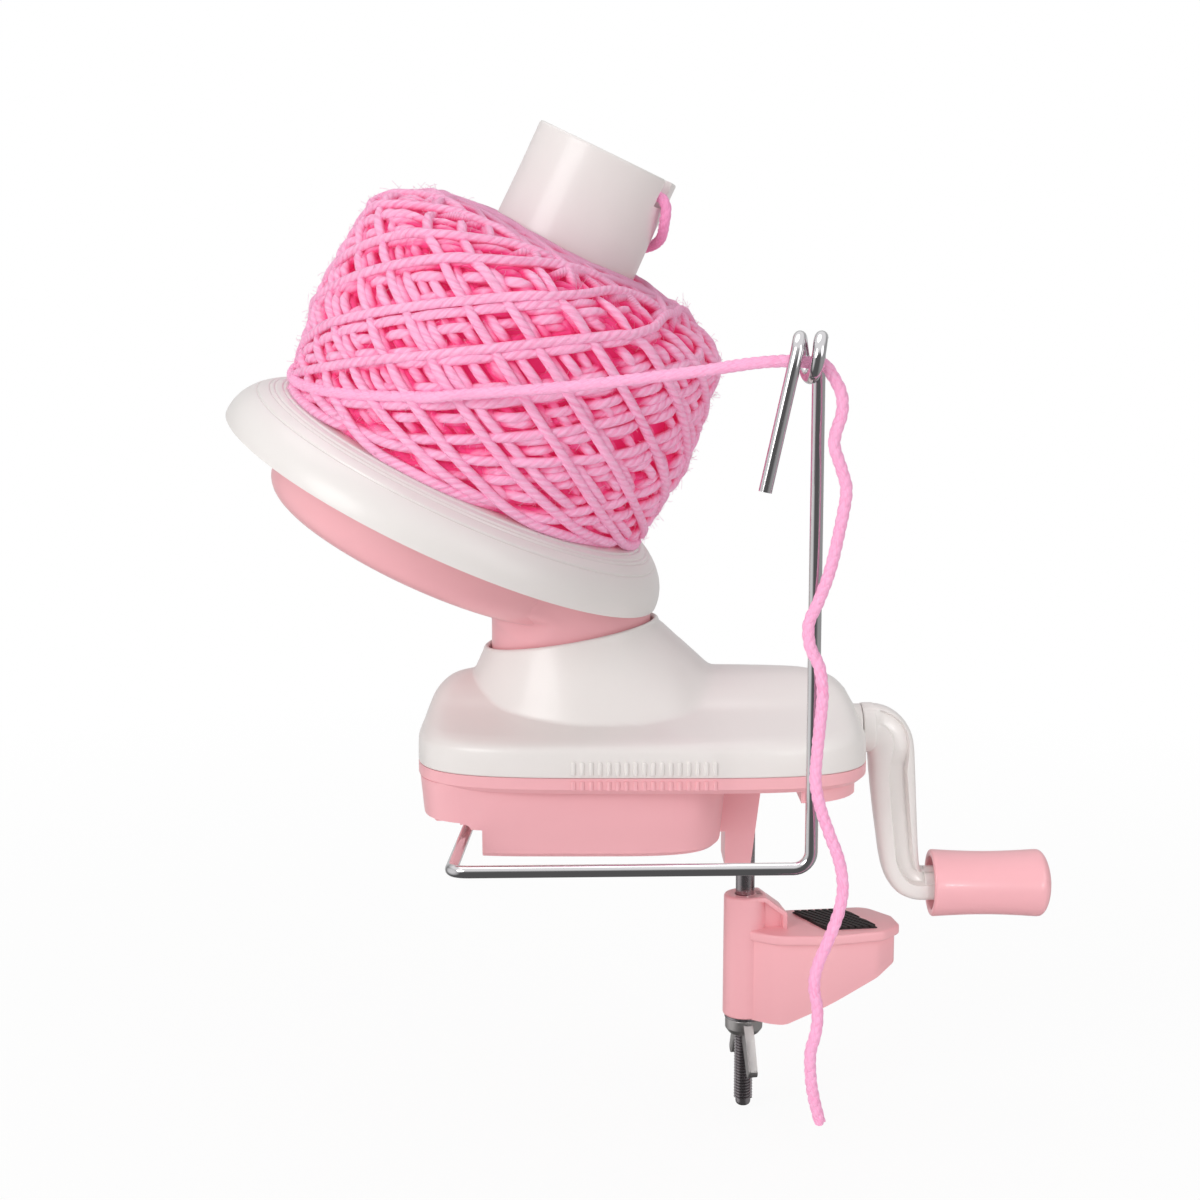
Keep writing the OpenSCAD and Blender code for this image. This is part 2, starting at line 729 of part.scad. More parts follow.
module lower_housing() {
  color("#f4b0b8")
  difference() {
    union() {
      difference() {
        union() {
          tub_solid(0);
          band_solid();
        }
        tub_solid(wall);
        band_hollow();
      }
      intersection() {
        tub_solid(0);
        union() {
          guide_recess(wall);
          translate([pivot_x, pivot_y, 0]) cylinder(r = pivot_boss_radius, h = pivot_boss_top);
          cylinder(r = post_boss_radius, h = post_boss_top);
          for (p = screw_places)
            translate([p[0], p[1], 0]) cylinder(d = screw_boss, h = ledge_top);
        }
      }
      for (p = screw_places)
        translate([p[0], p[1], tub_height - wall]) cylinder(d = screw_boss, h = band_height + wall);
      intersection() {
        translate([housing_offset, 0, tub_height - foot_height])
          linear_extrude(foot_height + wall)
            polygon(superellipse(half_length - foot_inset, half_depth - foot_inset, 4, outline_points));
        for (p = screw_places)
          if (p[0] > edge_stop)
            translate([p[0] - foot_size / 2, p[1] - foot_size / 2, 0])
              cube([2 * foot_size, foot_size, tub_height + wall]);
      }
      tongue();
      translate([rod_distance, 0, min(rod_seat - wall, tub_height)])
        cylinder(r = rod_boss_radius, h = rod_seat - min(rod_seat - wall, tub_height));
      grip_ribs(tub_height + band_fillet, parting - 0.7);
    }
    guide_recess(0);
    translate([-60, -60, -cut]) cube([60 + recess_right, 60 + tub_front + wall + cut, tooth_height + cut]);
    for (x = notch_places)
      translate([x, tub_front + wall, tooth_height - 0.5])
        rotate([90, 0, 0]) cylinder(r = notch_radius, h = 8);
    translate([pivot_x, pivot_y, -cut]) cylinder(r = wire_radius + run_gap, h = pivot_boss_top + 2 * cut);
    translate([0, 0, 1]) cylinder(r = post_radius + seat_gap, h = post_boss_top);
    translate([rod_distance, 0, 0]) {
      cylinder(r = rod_radius + run_gap, h = parting);
      translate([0, 0, rod_seat]) cylinder(d = rod_nut_size + play, h = parting);
    }
    along_x(housing_reach - bush_length - wall, crank_height)
      cylinder(r = bush_radius + seat_gap, h = bush_length + 2 * wall);
    for (p = screw_places)
      translate([p[0], p[1], -cut]) {
        cylinder(d = housing_screw + 2 * seat_gap, h = parting + 2 * cut);
        if (p[0] < edge_stop)
          cylinder(d = screw_head + 0.6, h = long_screw_seat + cut);
        else
          cylinder(d = screw_head + 0.6, h = tub_height - 1 + cut);
      }
  }
}

module roof_outer() {
  loft([for (step = roof_curve) roof_ring(step, 0, 0)]);
}

module collar_outer() {
  loft([
    collar_foot_ring(0, collar_foot),
    collar_ring(collar_radius, 1.2),
    collar_ring(collar_radius - 0.25, 0.4),
    collar_ring(collar_radius - 0.8, 0)
  ]);
}

module upper_cover() {
  color("#ede8e6")
  difference() {
    union() {
      difference() {
        union() {
          roof_outer();
          collar_outer();
        }
        loft([for (step = roof_curve) roof_ring(step, wall, wall)]);
        loft([collar_foot_ring(wall, collar_foot - cut), collar_ring(collar_radius - collar_rim, 2)]);
      }
      intersection() {
        union() {
          roof_outer();
          collar_outer();
        }
        union() {
          for (p = screw_places)
            translate([p[0], p[1], parting]) cylinder(d = screw_boss, h = cover_height, $fn = 12);
          along_x(housing_end - bush_length - wall, crank_height)
            cylinder(r = bush_boss_radius, h = bush_length + 2 * wall, $fn = 12);
        }
      }
      grip_ribs(parting + 0.7, parting + 4.2);
    }
    translate([0, 0, neck_bottom - 4])
      linear_extrude(collar_high)
        polygon([for (i = [0 : collar_points - 1]) polar(neck_radius + neck_gap, 360 * i / collar_points)]);
    along_x(housing_end - bush_length - 2 * wall, crank_height)
      cylinder(r = bush_radius + seat_gap, h = bush_length + 4 * wall);
    for (p = screw_places)
      translate([p[0], p[1], parting - cut])
        cylinder(d = housing_screw + 2 * seat_gap, h = screw_bite + 0.5 + cut);
  }
}

module housing_screws() {
  color("silver")
  for (p = screw_places) {
    seat = p[0] < edge_stop ? long_screw_seat : tub_height - 1;
    head = housing_screw * 0.6;
    translate([p[0], p[1], seat - head]) screw(housing_screw, parting + screw_bite - seat, screw_head);
  }
}

module centre_post() {
  color("silver")
  difference() {
    translate([0, 0, 1]) cylinder(r = post_radius, h = post_top - 1);
    translate([0, 0, post_top - 8]) cylinder(d = 3 + 2 * seat_gap, h = 8 + cut);
  }
}

module ring_washer(from, inner, outer, thickness) {
  translate([0, 0, from])
  difference() {
    cylinder(r = outer, h = thickness);
    translate([0, 0, -cut]) cylinder(r = inner, h = thickness + 2 * cut);
  }
}

module post_washer() {
  color("gainsboro") ring_washer(post_boss_top, post_radius + run_gap, stem_radius, washer_thickness);
}

module sun_washer() {
  color("gainsboro") ring_washer(hub_top + run_gap, post_radius + run_gap, hub_radius - 1, washer_thickness);
}

module sun_gear() {
  color("whitesmoke")
  translate([0, 0, sun_bottom])
  difference() {
    rotate([0, 0, spool_azimuth + 180])
      linear_extrude(sun_height, scale = bevel_shrink)
        polygon(gear_outline(sun_teeth, bevel_module, sun_cone));
    translate([0, 0, -cut]) cylinder(r = post_radius + seat_gap, h = sun_height + 2 * cut);
  }
}

module sun_screw() {
  color("silver") translate([0, 0, post_top + 1.8]) mirror([0, 0, 1]) screw(3, 7, 9);
}

module shaft_bearing() {
  color("whitesmoke")
  difference() {
    union() {
      translate([bearing_from, -bearing_half, wall])
        cube([bearing_width, 2 * bearing_half, crank_height - wall]);
      along_x(bearing_from, crank_height) cylinder(r = bearing_half, h = bearing_width);
      translate([bearing_from, -bearing_foot_half, wall])
        cube([bearing_width + 3, 2 * bearing_foot_half, bearing_foot_height]);
    }
    along_x(bearing_from - cut, crank_height)
      cylinder(r = shaft_radius + run_gap, h = bearing_width + 2 * cut);
    for (side = [-1, 1])
      translate([bearing_from + 4, side * bearing_screw_place, wall - cut])
        cylinder(d = 3 + 2 * seat_gap, h = bearing_foot_height + 2 * cut);
  }
}

module bearing_screws() {
  color("silver")
  for (side = [-1, 1])
    translate([bearing_from + 4, side * bearing_screw_place, wall + bearing_foot_height + 1.8])
      mirror([0, 0, 1]) screw(3, bearing_foot_height, 5.6);
}

module shaft_bush() {
  color("burlywood")
  along_x(housing_end - bush_length, crank_height)
  difference() {
    cylinder(r = bush_radius, h = bush_length);
    translate([0, 0, -cut]) cylinder(r = shaft_radius + run_gap, h = bush_length + 2 * cut);
  }
}

module clamp_rod() {
  color("silver") translate([rod_distance, 0, -rod_reach]) cylinder(r = rod_radius, h = rod_reach + rod_top);
}

module rod_nut() {
  color("silver")
  translate([rod_distance, 0, rod_seat])
  difference() {
    cylinder(d = rod_nut_size, h = rod_nut_height, $fn = 6);
    translate([0, 0, -cut]) cylinder(r = rod_radius + seat_gap, h = rod_nut_height + 2 * cut);
  }
}

module bowl_outer() {
  outline = rounded_outline([
    [0, -bowl_bottom, 0],
    [bowl_radius - 0.8, -bowl_bottom, bowl_edge],
    [bowl_radius, -bowl_lip, 0],
    [0, -bowl_lip, 0]
  ]);
  on_spool_axis() rotate_extrude() polygon(outline);
}

module turret() {
  reach = 2 * bowl_bottom;
  color("#f4b0b8")
  difference() {
    union() {
      difference() {
        union() {
          bowl_outer();
          difference() {
            translate([0, 0, neck_bottom]) cylinder(r = neck_radius, h = bowl_bottom);
            at_depth(neck_top_depth) translate([-reach / 2, -reach / 2, 0]) cube([reach, reach, reach]);
          }
        }
        at_depth(bowl_bottom - bowl_floor) cylinder(r = bowl_radius - wall - 0.8, h = reach);
        translate([0, 0, neck_bottom + neck_wall]) cylinder(r = neck_radius - neck_wall, h = reach);
      }
      translate([0, 0, neck_bottom]) cylinder(r = hub_radius, h = hub_top - neck_bottom);
      at_depth(bowl_bottom) cylinder(r = axle_boss_radius, h = bowl_bottom - axle_boss_top);
      translate([0, 0, pinion_top]) cylinder(r = stem_radius, h = neck_bottom - pinion_top + wall);
      translate([0, 0, pinion_bottom]) cylinder(r = spigot_radius, h = pinion_width + cut);
    }
    translate([0, 0, pinion_bottom - cut]) cylinder(r = post_radius + run_gap, h = hub_top);
    at_depth(bowl_bottom + cut) cylinder(r = axle_radius + seat_gap, h = bowl_height);
  }
}

module turret_pinion() {
  color("whitesmoke")
  translate([0, 0, pinion_bottom])
  difference() {
    linear_extrude(pinion_width) polygon(gear_outline(pinion_teeth, gear_module));
    translate([0, 0, -cut]) cylinder(r = spigot_radius + seat_gap, h = pinion_width + 2 * cut);
  }
}

module spool_axle() {
  color("silver")
  difference() {
    at_depth(bowl_bottom) cylinder(r = axle_radius, h = bowl_bottom - axle_top_depth);
    at_depth(axle_top_depth + 8) cylinder(d = axle_screw_diameter + 2 * seat_gap, h = 8 + cut);
  }
}

module axle_washer() {
  color("gainsboro")
  at_depth(axle_top_depth) ring_washer(0, axle_screw_diameter / 2 + run_gap, axle_radius + 3, 1);
}

module axle_screw() {
  color("silver")
  at_depth(axle_top_depth - 1 - axle_screw_diameter * 0.6) mirror([0, 0, 1]) screw(axle_screw_diameter, 8, 6);
}

module spool() {
  lip = spool_top_radius - wall;
  profile = concat(
    [[lip, spool_reach], [lip, -hub_top_depth], [axle_radius + 4, -hub_top_depth]],
    [[axle_radius + run_gap, -hub_top_depth], [axle_radius + run_gap, -spool_hub_end]],
    [[gear_seat_radius, -spool_hub_end], [gear_seat_radius, -gear_top_depth]],
    [[gear_shoulder_radius, -gear_top_depth], [gear_shoulder_radius, -flange_top - wall]],
    flange_curve(
      flange_flat, flange_radius - flange_wall - flange_flat, flange_drop - wall, flange_top + wall
    ),
    [for (p = flange_curve(flange_flat, flange_radius - flange_flat, flange_drop, flange_top)) p]
  );
  count = len(profile);
  inner_count = count - 13;
  outline = concat(
    [for (i = [0 : inner_count - 1]) profile[i]],
    [for (i = [count - 1 : -1 : inner_count]) profile[i]],
    [[spool_root_radius, -flange_top], [spool_top_radius, spool_reach]]
  );
  color("#ede8e6")
  difference() {
    on_spool_axis() rotate_extrude() polygon(outline);
    on_spool_axis() rotate([0, 0, slot_angle])
      translate([0, -slot_width / 2, spool_reach - slot_depth])
        cube([spool_top_radius + wall, slot_width, slot_depth + cut]);
  }
}

module spool_gear() {
  color("whitesmoke")
  at_depth(gear_bottom_depth)
  difference() {
    rotate([0, 0, 180 / spool_teeth])
      linear_extrude(gear_bottom_depth - gear_top_depth, scale = bevel_shrink)
        polygon(gear_outline(spool_teeth, bevel_module, spool_cone));
    translate([0, 0, -cut]) cylinder(r = gear_seat_radius + seat_gap, h = bevel_width + 2 * cut);
  }
}

module yarn_core() {
  outline = concat(
    [for (p = core_curve) [p[1], -p[0]]],
    [
      [spool_radius(core_curve[len(core_curve) - 1][0]) + run_gap, -core_curve[len(core_curve) - 1][0]],
      [spool_radius(core_curve[0][0]) + run_gap, -core_curve[0][0]]
    ]
  );
  color("#f0529f") on_spool_axis() rotate_extrude() polygon(outline);
}

module yarn_winding() {
  color("#ff8ccb") on_spool_axis() loft([for (i = [0 : len(wind_path) - 1]) wind_ring(i)]);
}

module yarn_tuck() {
  route = [for (p = tuck_route) [p[0], 0, p[1]]];
  color("#ff8ccb")
  on_spool_axis() rotate([0, 0, slot_angle]) loft(tube_rings(route, yarn_radius, 8, [0, 1, 0]));
}

module crank_shaft() {
  color("silver")
  along_x(crown_tooth_tip + 0.4, crank_height)
  difference() {
    cylinder(r = shaft_radius, h = arm_from + 8 - crown_tooth_tip - 0.4);
    translate([0, 0, arm_from - crown_tooth_tip - 0.4]) cylinder(d = 3 + 2 * seat_gap, h = 8 + cut);
  }
}

module crown_gear() {
  tooth = [
    [-crown_tooth_half - (crown_tooth_root - pinion_radius) * tan(pressure_angle), crown_tooth_root + cut],
    [-crown_tooth_half + (pinion_radius - crown_tooth_tip) * tan(pressure_angle), crown_tooth_tip],
    [crown_tooth_half - (pinion_radius - crown_tooth_tip) * tan(pressure_angle), crown_tooth_tip],
    [crown_tooth_half + (crown_tooth_root - pinion_radius) * tan(pressure_angle), crown_tooth_root + cut]
  ];
  color("whitesmoke")
  along_x(0, crank_height)
  difference() {
    union() {
      for (i = [0 : crown_teeth - 1])
        rotate([0, 0, 360 * (i + 0.5) / crown_teeth])
          translate([crown_inner, 0, 0])
            rotate([90, 0, 90]) linear_extrude(crown_outer - crown_inner) polygon(tooth);
      translate([0, 0, crown_tooth_root]) cylinder(r = crown_outer, h = crown_back - crown_tooth_root);
      translate([0, 0, crown_back - cut])
        cylinder(r = crown_hub_radius, h = bearing_from - play - crown_back + cut);
    }
    translate([0, 0, -cut]) cylinder(r = shaft_radius + seat_gap, h = bearing_from);
  }
}

module crank_arm() {
  color("#ede8e6")
  difference() {
    union() {
      translate([arm_from, 0, 0]) along_y(arm_depth) polygon(rounded_outline(arm_outline));
      along_x(arm_from, crank_height) cylinder(d = arm_hub, h = 3.4);
      along_x(arm_from + 14, grip_height) cylinder(r = pin_radius, h = 6.6);
      along_x(arm_from + 18, grip_height) cylinder(r = spindle_radius, h = spindle_end - arm_from - 18);
    }
    for (side = [-1, 1])
      translate([arm_from, side * (arm_depth / 2 + cut - arm_groove / 2), 0])
        along_y(arm_groove + 2 * cut) polygon(rounded_outline(groove_outline, 5));
    along_x(arm_from - cut, crank_height) cylinder(r = shaft_radius + seat_gap, h = 8 + cut);
    along_x(arm_from, crank_height) cylinder(d = 3 + 2 * seat_gap, h = 20);
    along_x(arm_from + 14 - arm_screw_seat, crank_height) cylinder(d = 6.2, h = 8);
    along_x(spindle_end - 8, grip_height) cylinder(d = 3 + 2 * seat_gap, h = 8 + cut);
  }
}

module crank_screw() {
  color("silver")
  along_x(arm_from + 14 - arm_screw_seat + 1.8, crank_height) mirror([0, 0, 1]) screw(3, 8, 5.8);
}

module grip_screw() {
  color("silver") along_x(spindle_end + 1.8, grip_height) mirror([0, 0, 1]) screw(3, 7, 9.4);
}

module crank_grip() {
  radius = grip_diameter / 2;
  bore = spindle_radius + run_gap;
  mouth = pin_radius + play;
  shoulder = spindle_end - grip_from - play;
  outline = concat(
    [[bore, 2.2], [mouth, 2.2], [mouth, 0], [radius - 0.8, 0]],
    [for (k = [0 : 8]) [radius - grip_waist * sin(180 * k / 8), 0.8 + (grip_length - 0.8) * k / 8]],
    [[radius - 1.6, grip_length], [radius - 1.6, grip_length - 1], [5.5, grip_length - 1]],
    [[5.5, shoulder], [bore, shoulder]]
  );
  color("#f4b0b8") along_x(grip_from, grip_height) rotate_extrude() polygon(outline);
}

module grip_cap() {
  radius = grip_diameter / 2;
  plug = radius - 1.6 - seat_gap;
  color("#f4b0b8")
  along_x(grip_end, grip_height)
  rotate_extrude()
    polygon(concat(
      [[0, -1 + seat_gap], [plug, -1 + seat_gap], [plug, 0], [radius, 0]],
      [for (a = [15 : 15 : 90]) [radius * cos(a), grip_dome * sin(a)]]
    ));
}

module guide_wire() {
  color("lightgray")
  union() {
    loft(tube_rings(guide_route, wire_radius - seat_gap, 12, [1, 0, 0]));
    translate([pivot_x, pivot_y, pivot_height + guide_bend])
      cylinder(r = wire_radius, h = pivot_top - pivot_height - guide_bend);
  }
}

module guide_clip() {
  color("gainsboro")
  translate([pivot_x, pivot_y, 0])
    ring_washer(pivot_boss_top + run_gap, wire_radius + seat_gap, clip_radius, clip_thickness);
}

module yarn_feed() {
  color("#ff8ccb") loft(tube_rings(feed_route, yarn_radius, 8, [0, 0, 1]));
}

module yarn_tail() {
  color("#f7a8d4") loft(tube_rings(tail_route, yarn_radius, 8, [0, 1, 0]));
}

module clamp_washer() {
  color("gainsboro")
  translate([rod_distance, 0, 0])
    ring_washer(washer_bottom, rod_radius + run_gap, jaw_boss_radius - 0.4, clamp_washer_thickness);
}

module wing_nut() {
  color("silver")
  translate([rod_distance, 0, 0])
  difference() {
    union() {
      translate([0, 0, nut_top - nut_height]) cylinder(d = nut_collar, h = nut_height);
      rotate([0, 0, 80])
        along_y(wing_thickness)
          polygon(rounded_outline([
            [-wing_span / 2, nut_top - nut_height - wing_length, 1.6],
            [-wing_span / 2 + 5, nut_top - nut_height - wing_length, 1.6],
            [-rod_radius - 1, nut_top - nut_height - 1.5, 1],
            [rod_radius + 1, nut_top - nut_height - 1.5, 1],
            [wing_span / 2 - 5, nut_top - nut_height - wing_length, 1.6],
            [wing_span / 2, nut_top - nut_height - wing_length, 1.6],
            [nut_collar / 2 - 0.5, nut_top - 1, 0],
            [-nut_collar / 2 + 0.5, nut_top - 1, 0]
          ]));
    }
    translate([0, 0, nut_top - nut_height - wing_length])
      cylinder(r = rod_radius + run_gap, h = nut_height + wing_length + cut);
  }
}

// Plan of the jaw's arm, drawn in from the plate's edge
function jaw_plan(inset) = rounded_outline([
  [0, jaw_boss_radius - inset, 0],
  [0, -jaw_boss_radius + inset, 0],
  [9, -jaw_width / 2 + inset, 6],
  [jaw_reach - 5 - inset, -jaw_width / 2 + inset, 5],
  [jaw_reach - inset, -3, 4],
  [jaw_reach - inset, 3, 4],
  [jaw_reach - 5 - inset, jaw_width / 2 - inset, 5],
  [9, jaw_width / 2 - inset, 6]
], 5);

// Side view of the skirt under the plate
module jaw_skirt_side(raise) {
  along_y(2 * jaw_width)
    polygon(rounded_outline([
      [-jaw_boss_radius, jaw_top - cut, 0],
      [-jaw_boss_radius, boss_bottom + raise, 0],
      [9, boss_bottom + raise, 6],
      [jaw_reach, jaw_top - jaw_end_drop + raise, 2],
      [jaw_reach, jaw_top - cut, 0]
    ]));
}

module clamp_jaw() {
  color("#f4b0b8")
  translate([rod_distance, 0, 0])
  rotate([0, 0, jaw_yaw])
  difference() {
    union() {
      difference() {
        intersection() {
          translate([0, 0, boss_bottom]) linear_extrude(jaw_boss_drop) polygon(jaw_plan(jaw_skirt_inset));
          jaw_skirt_side(0);
        }
        intersection() {
          translate([0, 0, boss_bottom - cut])
            linear_extrude(jaw_boss_drop - jaw_plate + cut) polygon(jaw_plan(jaw_skirt_inset + jaw_wall));
          jaw_skirt_side(-cut);
        }
      }
      translate([0, 0, jaw_top - jaw_plate]) linear_extrude(jaw_plate) polygon(jaw_plan(0));
      along_y(2 * fence_half)
        polygon([
          [0, boss_top],
          [jaw_boss_radius - 1, boss_top],
          [fence_reach, boss_top - 4.4],
          [fence_reach, jaw_top - jaw_plate / 2],
          [0, jaw_top - jaw_plate / 2]
        ]);
      translate([0, 0, boss_bottom]) cylinder(r = jaw_boss_radius, h = boss_top - boss_bottom);
    }
    translate([0, 0, boss_bottom - cut])
      cylinder(r = rod_radius + run_gap, h = boss_top - boss_bottom + 2 * cut);
    translate([0, 0, jaw_top - pad_sink]) linear_extrude(pad_sink + cut) polygon(pad_outline(seat_gap));
  }
}

function pad_outline(grow) = [
  [pad_from - grow + pad_slant, -pad_half - grow],
  [pad_to + grow, -pad_half - grow],
  [pad_to + grow - pad_slant, pad_half + grow],
  [pad_from - grow, pad_half + grow]
];

module jaw_pad() {
  base = pad_thickness - pad_rib_height;
  color("#2a2324")
  translate([rod_distance, 0, jaw_top - pad_sink])
  rotate([0, 0, jaw_yaw]) {
    linear_extrude(base) polygon(pad_outline(0));
    intersection() {
      linear_extrude(pad_thickness) polygon(pad_outline(0));
      for (x = [pad_from : pad_rib_pitch : pad_to + pad_slant])
        translate([x, 0, base - cut]) rotate([0, 0, 30])
          translate([-0.5, -2 * pad_half, 0]) cube([1, 4 * pad_half, pad_rib_height + cut]);
    }
  }
}

lower_housing();
upper_cover();
housing_screws();
centre_post();
post_washer();
sun_washer();
sun_gear();
sun_screw();
shaft_bearing();
bearing_screws();
shaft_bush();
clamp_rod();
rod_nut();
turret();
turret_pinion();
spool_axle();
axle_washer();
axle_screw();
spool();
spool_gear();
yarn_core();
yarn_winding();
yarn_tuck();
crank_shaft();
crown_gear();
crank_arm();
crank_screw();
grip_screw();
crank_grip();
grip_cap();
guide_wire();
guide_clip();
yarn_feed();
yarn_tail();
clamp_washer();
wing_nut();
clamp_jaw();
jaw_pad();
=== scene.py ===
"""Yarn ball winder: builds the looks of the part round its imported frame."""

import json
import math

import bmesh
import bpy
import numpy as np
from mathutils import Matrix, Vector

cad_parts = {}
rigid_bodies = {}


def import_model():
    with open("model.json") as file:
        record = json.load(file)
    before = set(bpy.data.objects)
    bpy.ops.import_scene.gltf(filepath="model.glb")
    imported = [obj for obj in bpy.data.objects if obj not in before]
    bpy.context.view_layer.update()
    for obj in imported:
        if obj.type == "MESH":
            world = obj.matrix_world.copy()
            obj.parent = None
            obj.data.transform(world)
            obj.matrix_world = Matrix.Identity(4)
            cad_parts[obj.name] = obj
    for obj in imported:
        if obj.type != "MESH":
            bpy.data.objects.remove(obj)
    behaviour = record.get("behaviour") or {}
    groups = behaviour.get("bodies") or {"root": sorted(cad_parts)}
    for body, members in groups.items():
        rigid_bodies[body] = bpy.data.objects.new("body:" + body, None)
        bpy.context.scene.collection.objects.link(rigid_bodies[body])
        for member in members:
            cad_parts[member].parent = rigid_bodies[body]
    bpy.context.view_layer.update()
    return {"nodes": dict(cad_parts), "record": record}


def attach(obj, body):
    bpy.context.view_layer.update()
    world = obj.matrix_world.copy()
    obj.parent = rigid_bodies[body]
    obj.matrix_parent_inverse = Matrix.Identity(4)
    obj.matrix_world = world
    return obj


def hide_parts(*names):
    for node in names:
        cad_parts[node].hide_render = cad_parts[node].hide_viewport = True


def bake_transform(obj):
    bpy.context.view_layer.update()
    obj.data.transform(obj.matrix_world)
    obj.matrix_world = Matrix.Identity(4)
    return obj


bl_info = {
    "name": "Yarn Ball Winder",
    "version": (1, 0, 0),
    "blender": (4, 5, 0),
    "location": "View3D > Sidebar > Winder",
    "description": "Builds the visible pieces of a hand-cranked yarn ball winder",
    "category": "Add Mesh",
}

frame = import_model()
MM = 0.001

# Places shared with the solids, in millimetres
SPOOL_TILT = math.radians(26)
SPOOL_AZIMUTH = math.radians(-12)
APEX = 152.568
SLOT_ANGLE = math.radians(-15)
HOUSING_MIDDLE = 18.25
HALF_LENGTH = 57.25
HALF_DEPTH = 38.0
PARTING = 21.0
ROD_X = 46.0
JAW_YAW = math.radians(8)
CRANK_Z = 26.0
GRIP_Z = -16.0
ARM_X = 75.9


def linear(code):
    """Linear RGBA of an sRGB hex colour."""
    parts = [int(code[i : i + 2], 16) / 255 for i in (1, 3, 5)]
    return [p / 12.92 if p <= 0.04045 else ((p + 0.055) / 1.055) ** 2.4 for p in parts] + [1.0]


class WinderSizes(bpy.types.PropertyGroup):
    """Sizes that a user would change."""

    yarn_diameter: bpy.props.FloatProperty(
        name="Yarn diameter", description="Thickness of one strand", default=2.8 * MM, unit="LENGTH"
    )
    twist_length: bpy.props.FloatProperty(
        name="Twist length", description="Length of one turn of the plies", default=6.5 * MM, unit="LENGTH"
    )
    wraps: bpy.props.IntProperty(
        name="Wraps", description="Turns of yarn laid on the ball", default=96, min=40
    )
    wire_diameter: bpy.props.FloatProperty(
        name="Wire diameter", description="Thickness of the guide wire", default=2.9 * MM, unit="LENGTH"
    )
    thread_pitch: bpy.props.FloatProperty(
        name="Thread pitch", description="Pitch of the clamp rod's thread", default=0.8 * MM, unit="LENGTH"
    )


class WinderColours(bpy.types.PropertyGroup):
    """Colours that a user would change."""

    pink: bpy.props.FloatVectorProperty(
        name="Pink plastic", description="Housing, turret, grip and jaw", subtype="COLOR", size=4,
        default=linear("#F8B6BD"),
    )
    white: bpy.props.FloatVectorProperty(
        name="White plastic", description="Cover, spool and crank arm", subtype="COLOR", size=4,
        default=linear("#EDE8E5"),
    )
    yarn: bpy.props.FloatVectorProperty(
        name="Yarn", description="Lit colour of the yarn", subtype="COLOR", size=4, default=linear("#FFA6D4")
    )
    # Painted shade: the darker pink drawn between the plies and the fibre bundles
    yarn_ply_shade: bpy.props.FloatVectorProperty(
        name="Yarn's painted shade between plies", description="Colour painted as shade between the plies", subtype="COLOR", size=4,
        default=linear("#F8509C"),
    )


def sizes():
    return bpy.context.scene.winder_sizes


def colours():
    return bpy.context.scene.winder_colours


def add(tree, kind, inputs=None, **settings):
    """Add a node with its settings; an input is a value or the socket that feeds it."""
    made = tree.nodes.new(kind)
    for name, value in settings.items():
        setattr(made, name, value)
    for key, value in (inputs or {}).items():
        if isinstance(value, bpy.types.NodeSocket):
            tree.links.new(value, made.inputs[key])
        else:
            made.inputs[key].default_value = value
    return made


def start_material(name, **sockets):
    """New material with its shader's plain sockets set."""
    made = bpy.data.materials.new(name)
    made.use_nodes = True
    shader = made.node_tree.nodes["Principled BSDF"]
    for key, value in sockets.items():
        shader.inputs[key.replace("_", " ").title().replace("Ior", "IOR")].default_value = value
    return made, made.node_tree, shader


def moulded_abs(name, colour, shade, rough):
    """ABS from a lightly textured mould: even colour with faint clouds, and a soft gloss."""
    made, tree, shader = start_material(name, ior=1.54, coat_weight=0.22, coat_roughness=0.09)
    coords = add(tree, "ShaderNodeTexCoord").outputs["Object"]
    # Flow of the melt, a few centimetres wide
    flow = add(tree, "ShaderNodeTexNoise", {"Vector": coords, "Scale": 1 / (35 * MM), "Detail": 3.0})
    tint = add(tree, "ShaderNodeMix", {0: flow.outputs["Fac"], 6: colour, 7: shade}, data_type="RGBA")
    tree.links.new(tint.outputs[2], shader.inputs["Base Color"])
    # Mould grain, drawn at 0.5 mm so that it shows
    grain = add(tree, "ShaderNodeTexNoise", {"Vector": coords, "Scale": 1 / (0.5 * MM), "Detail": 2.0})
    gloss = add(
        tree, "ShaderNodeMapRange", {"Value": flow.outputs["Fac"], "To Min": rough, "To Max": 1.4 * rough}
    )
    tree.links.new(gloss.outputs["Result"], shader.inputs["Roughness"])
    bump = add(
        tree, "ShaderNodeBump", {"Height": grain.outputs["Fac"], "Strength": 0.06, "Distance": 0.1 * MM}
    )
    tree.links.new(bump.outputs["Normal"], shader.inputs["Normal"])
    return made


def bright_metal(name, colour, rough, line):
    """Plated steel: mirror gloss broken by fine marks of the given width."""
    made, tree, shader = start_material(name, metallic=1.0, base_color=linear(colour))
    coords = add(tree, "ShaderNodeTexCoord").outputs["Object"]
    marks = add(tree, "ShaderNodeTexNoise", {"Vector": coords, "Scale": 1 / line, "Detail": 4.0})
    gloss = add(
        tree, "ShaderNodeMapRange", {"Value": marks.outputs["Fac"], "To Min": rough, "To Max": rough * 2.2}
    )
    tree.links.new(gloss.outputs["Result"], shader.inputs["Roughness"])
    bump = add(
        tree, "ShaderNodeBump", {"Height": marks.outputs["Fac"], "Strength": 0.05, "Distance": 0.05 * MM}
    )
    tree.links.new(bump.outputs["Normal"], shader.inputs["Normal"])
    return made


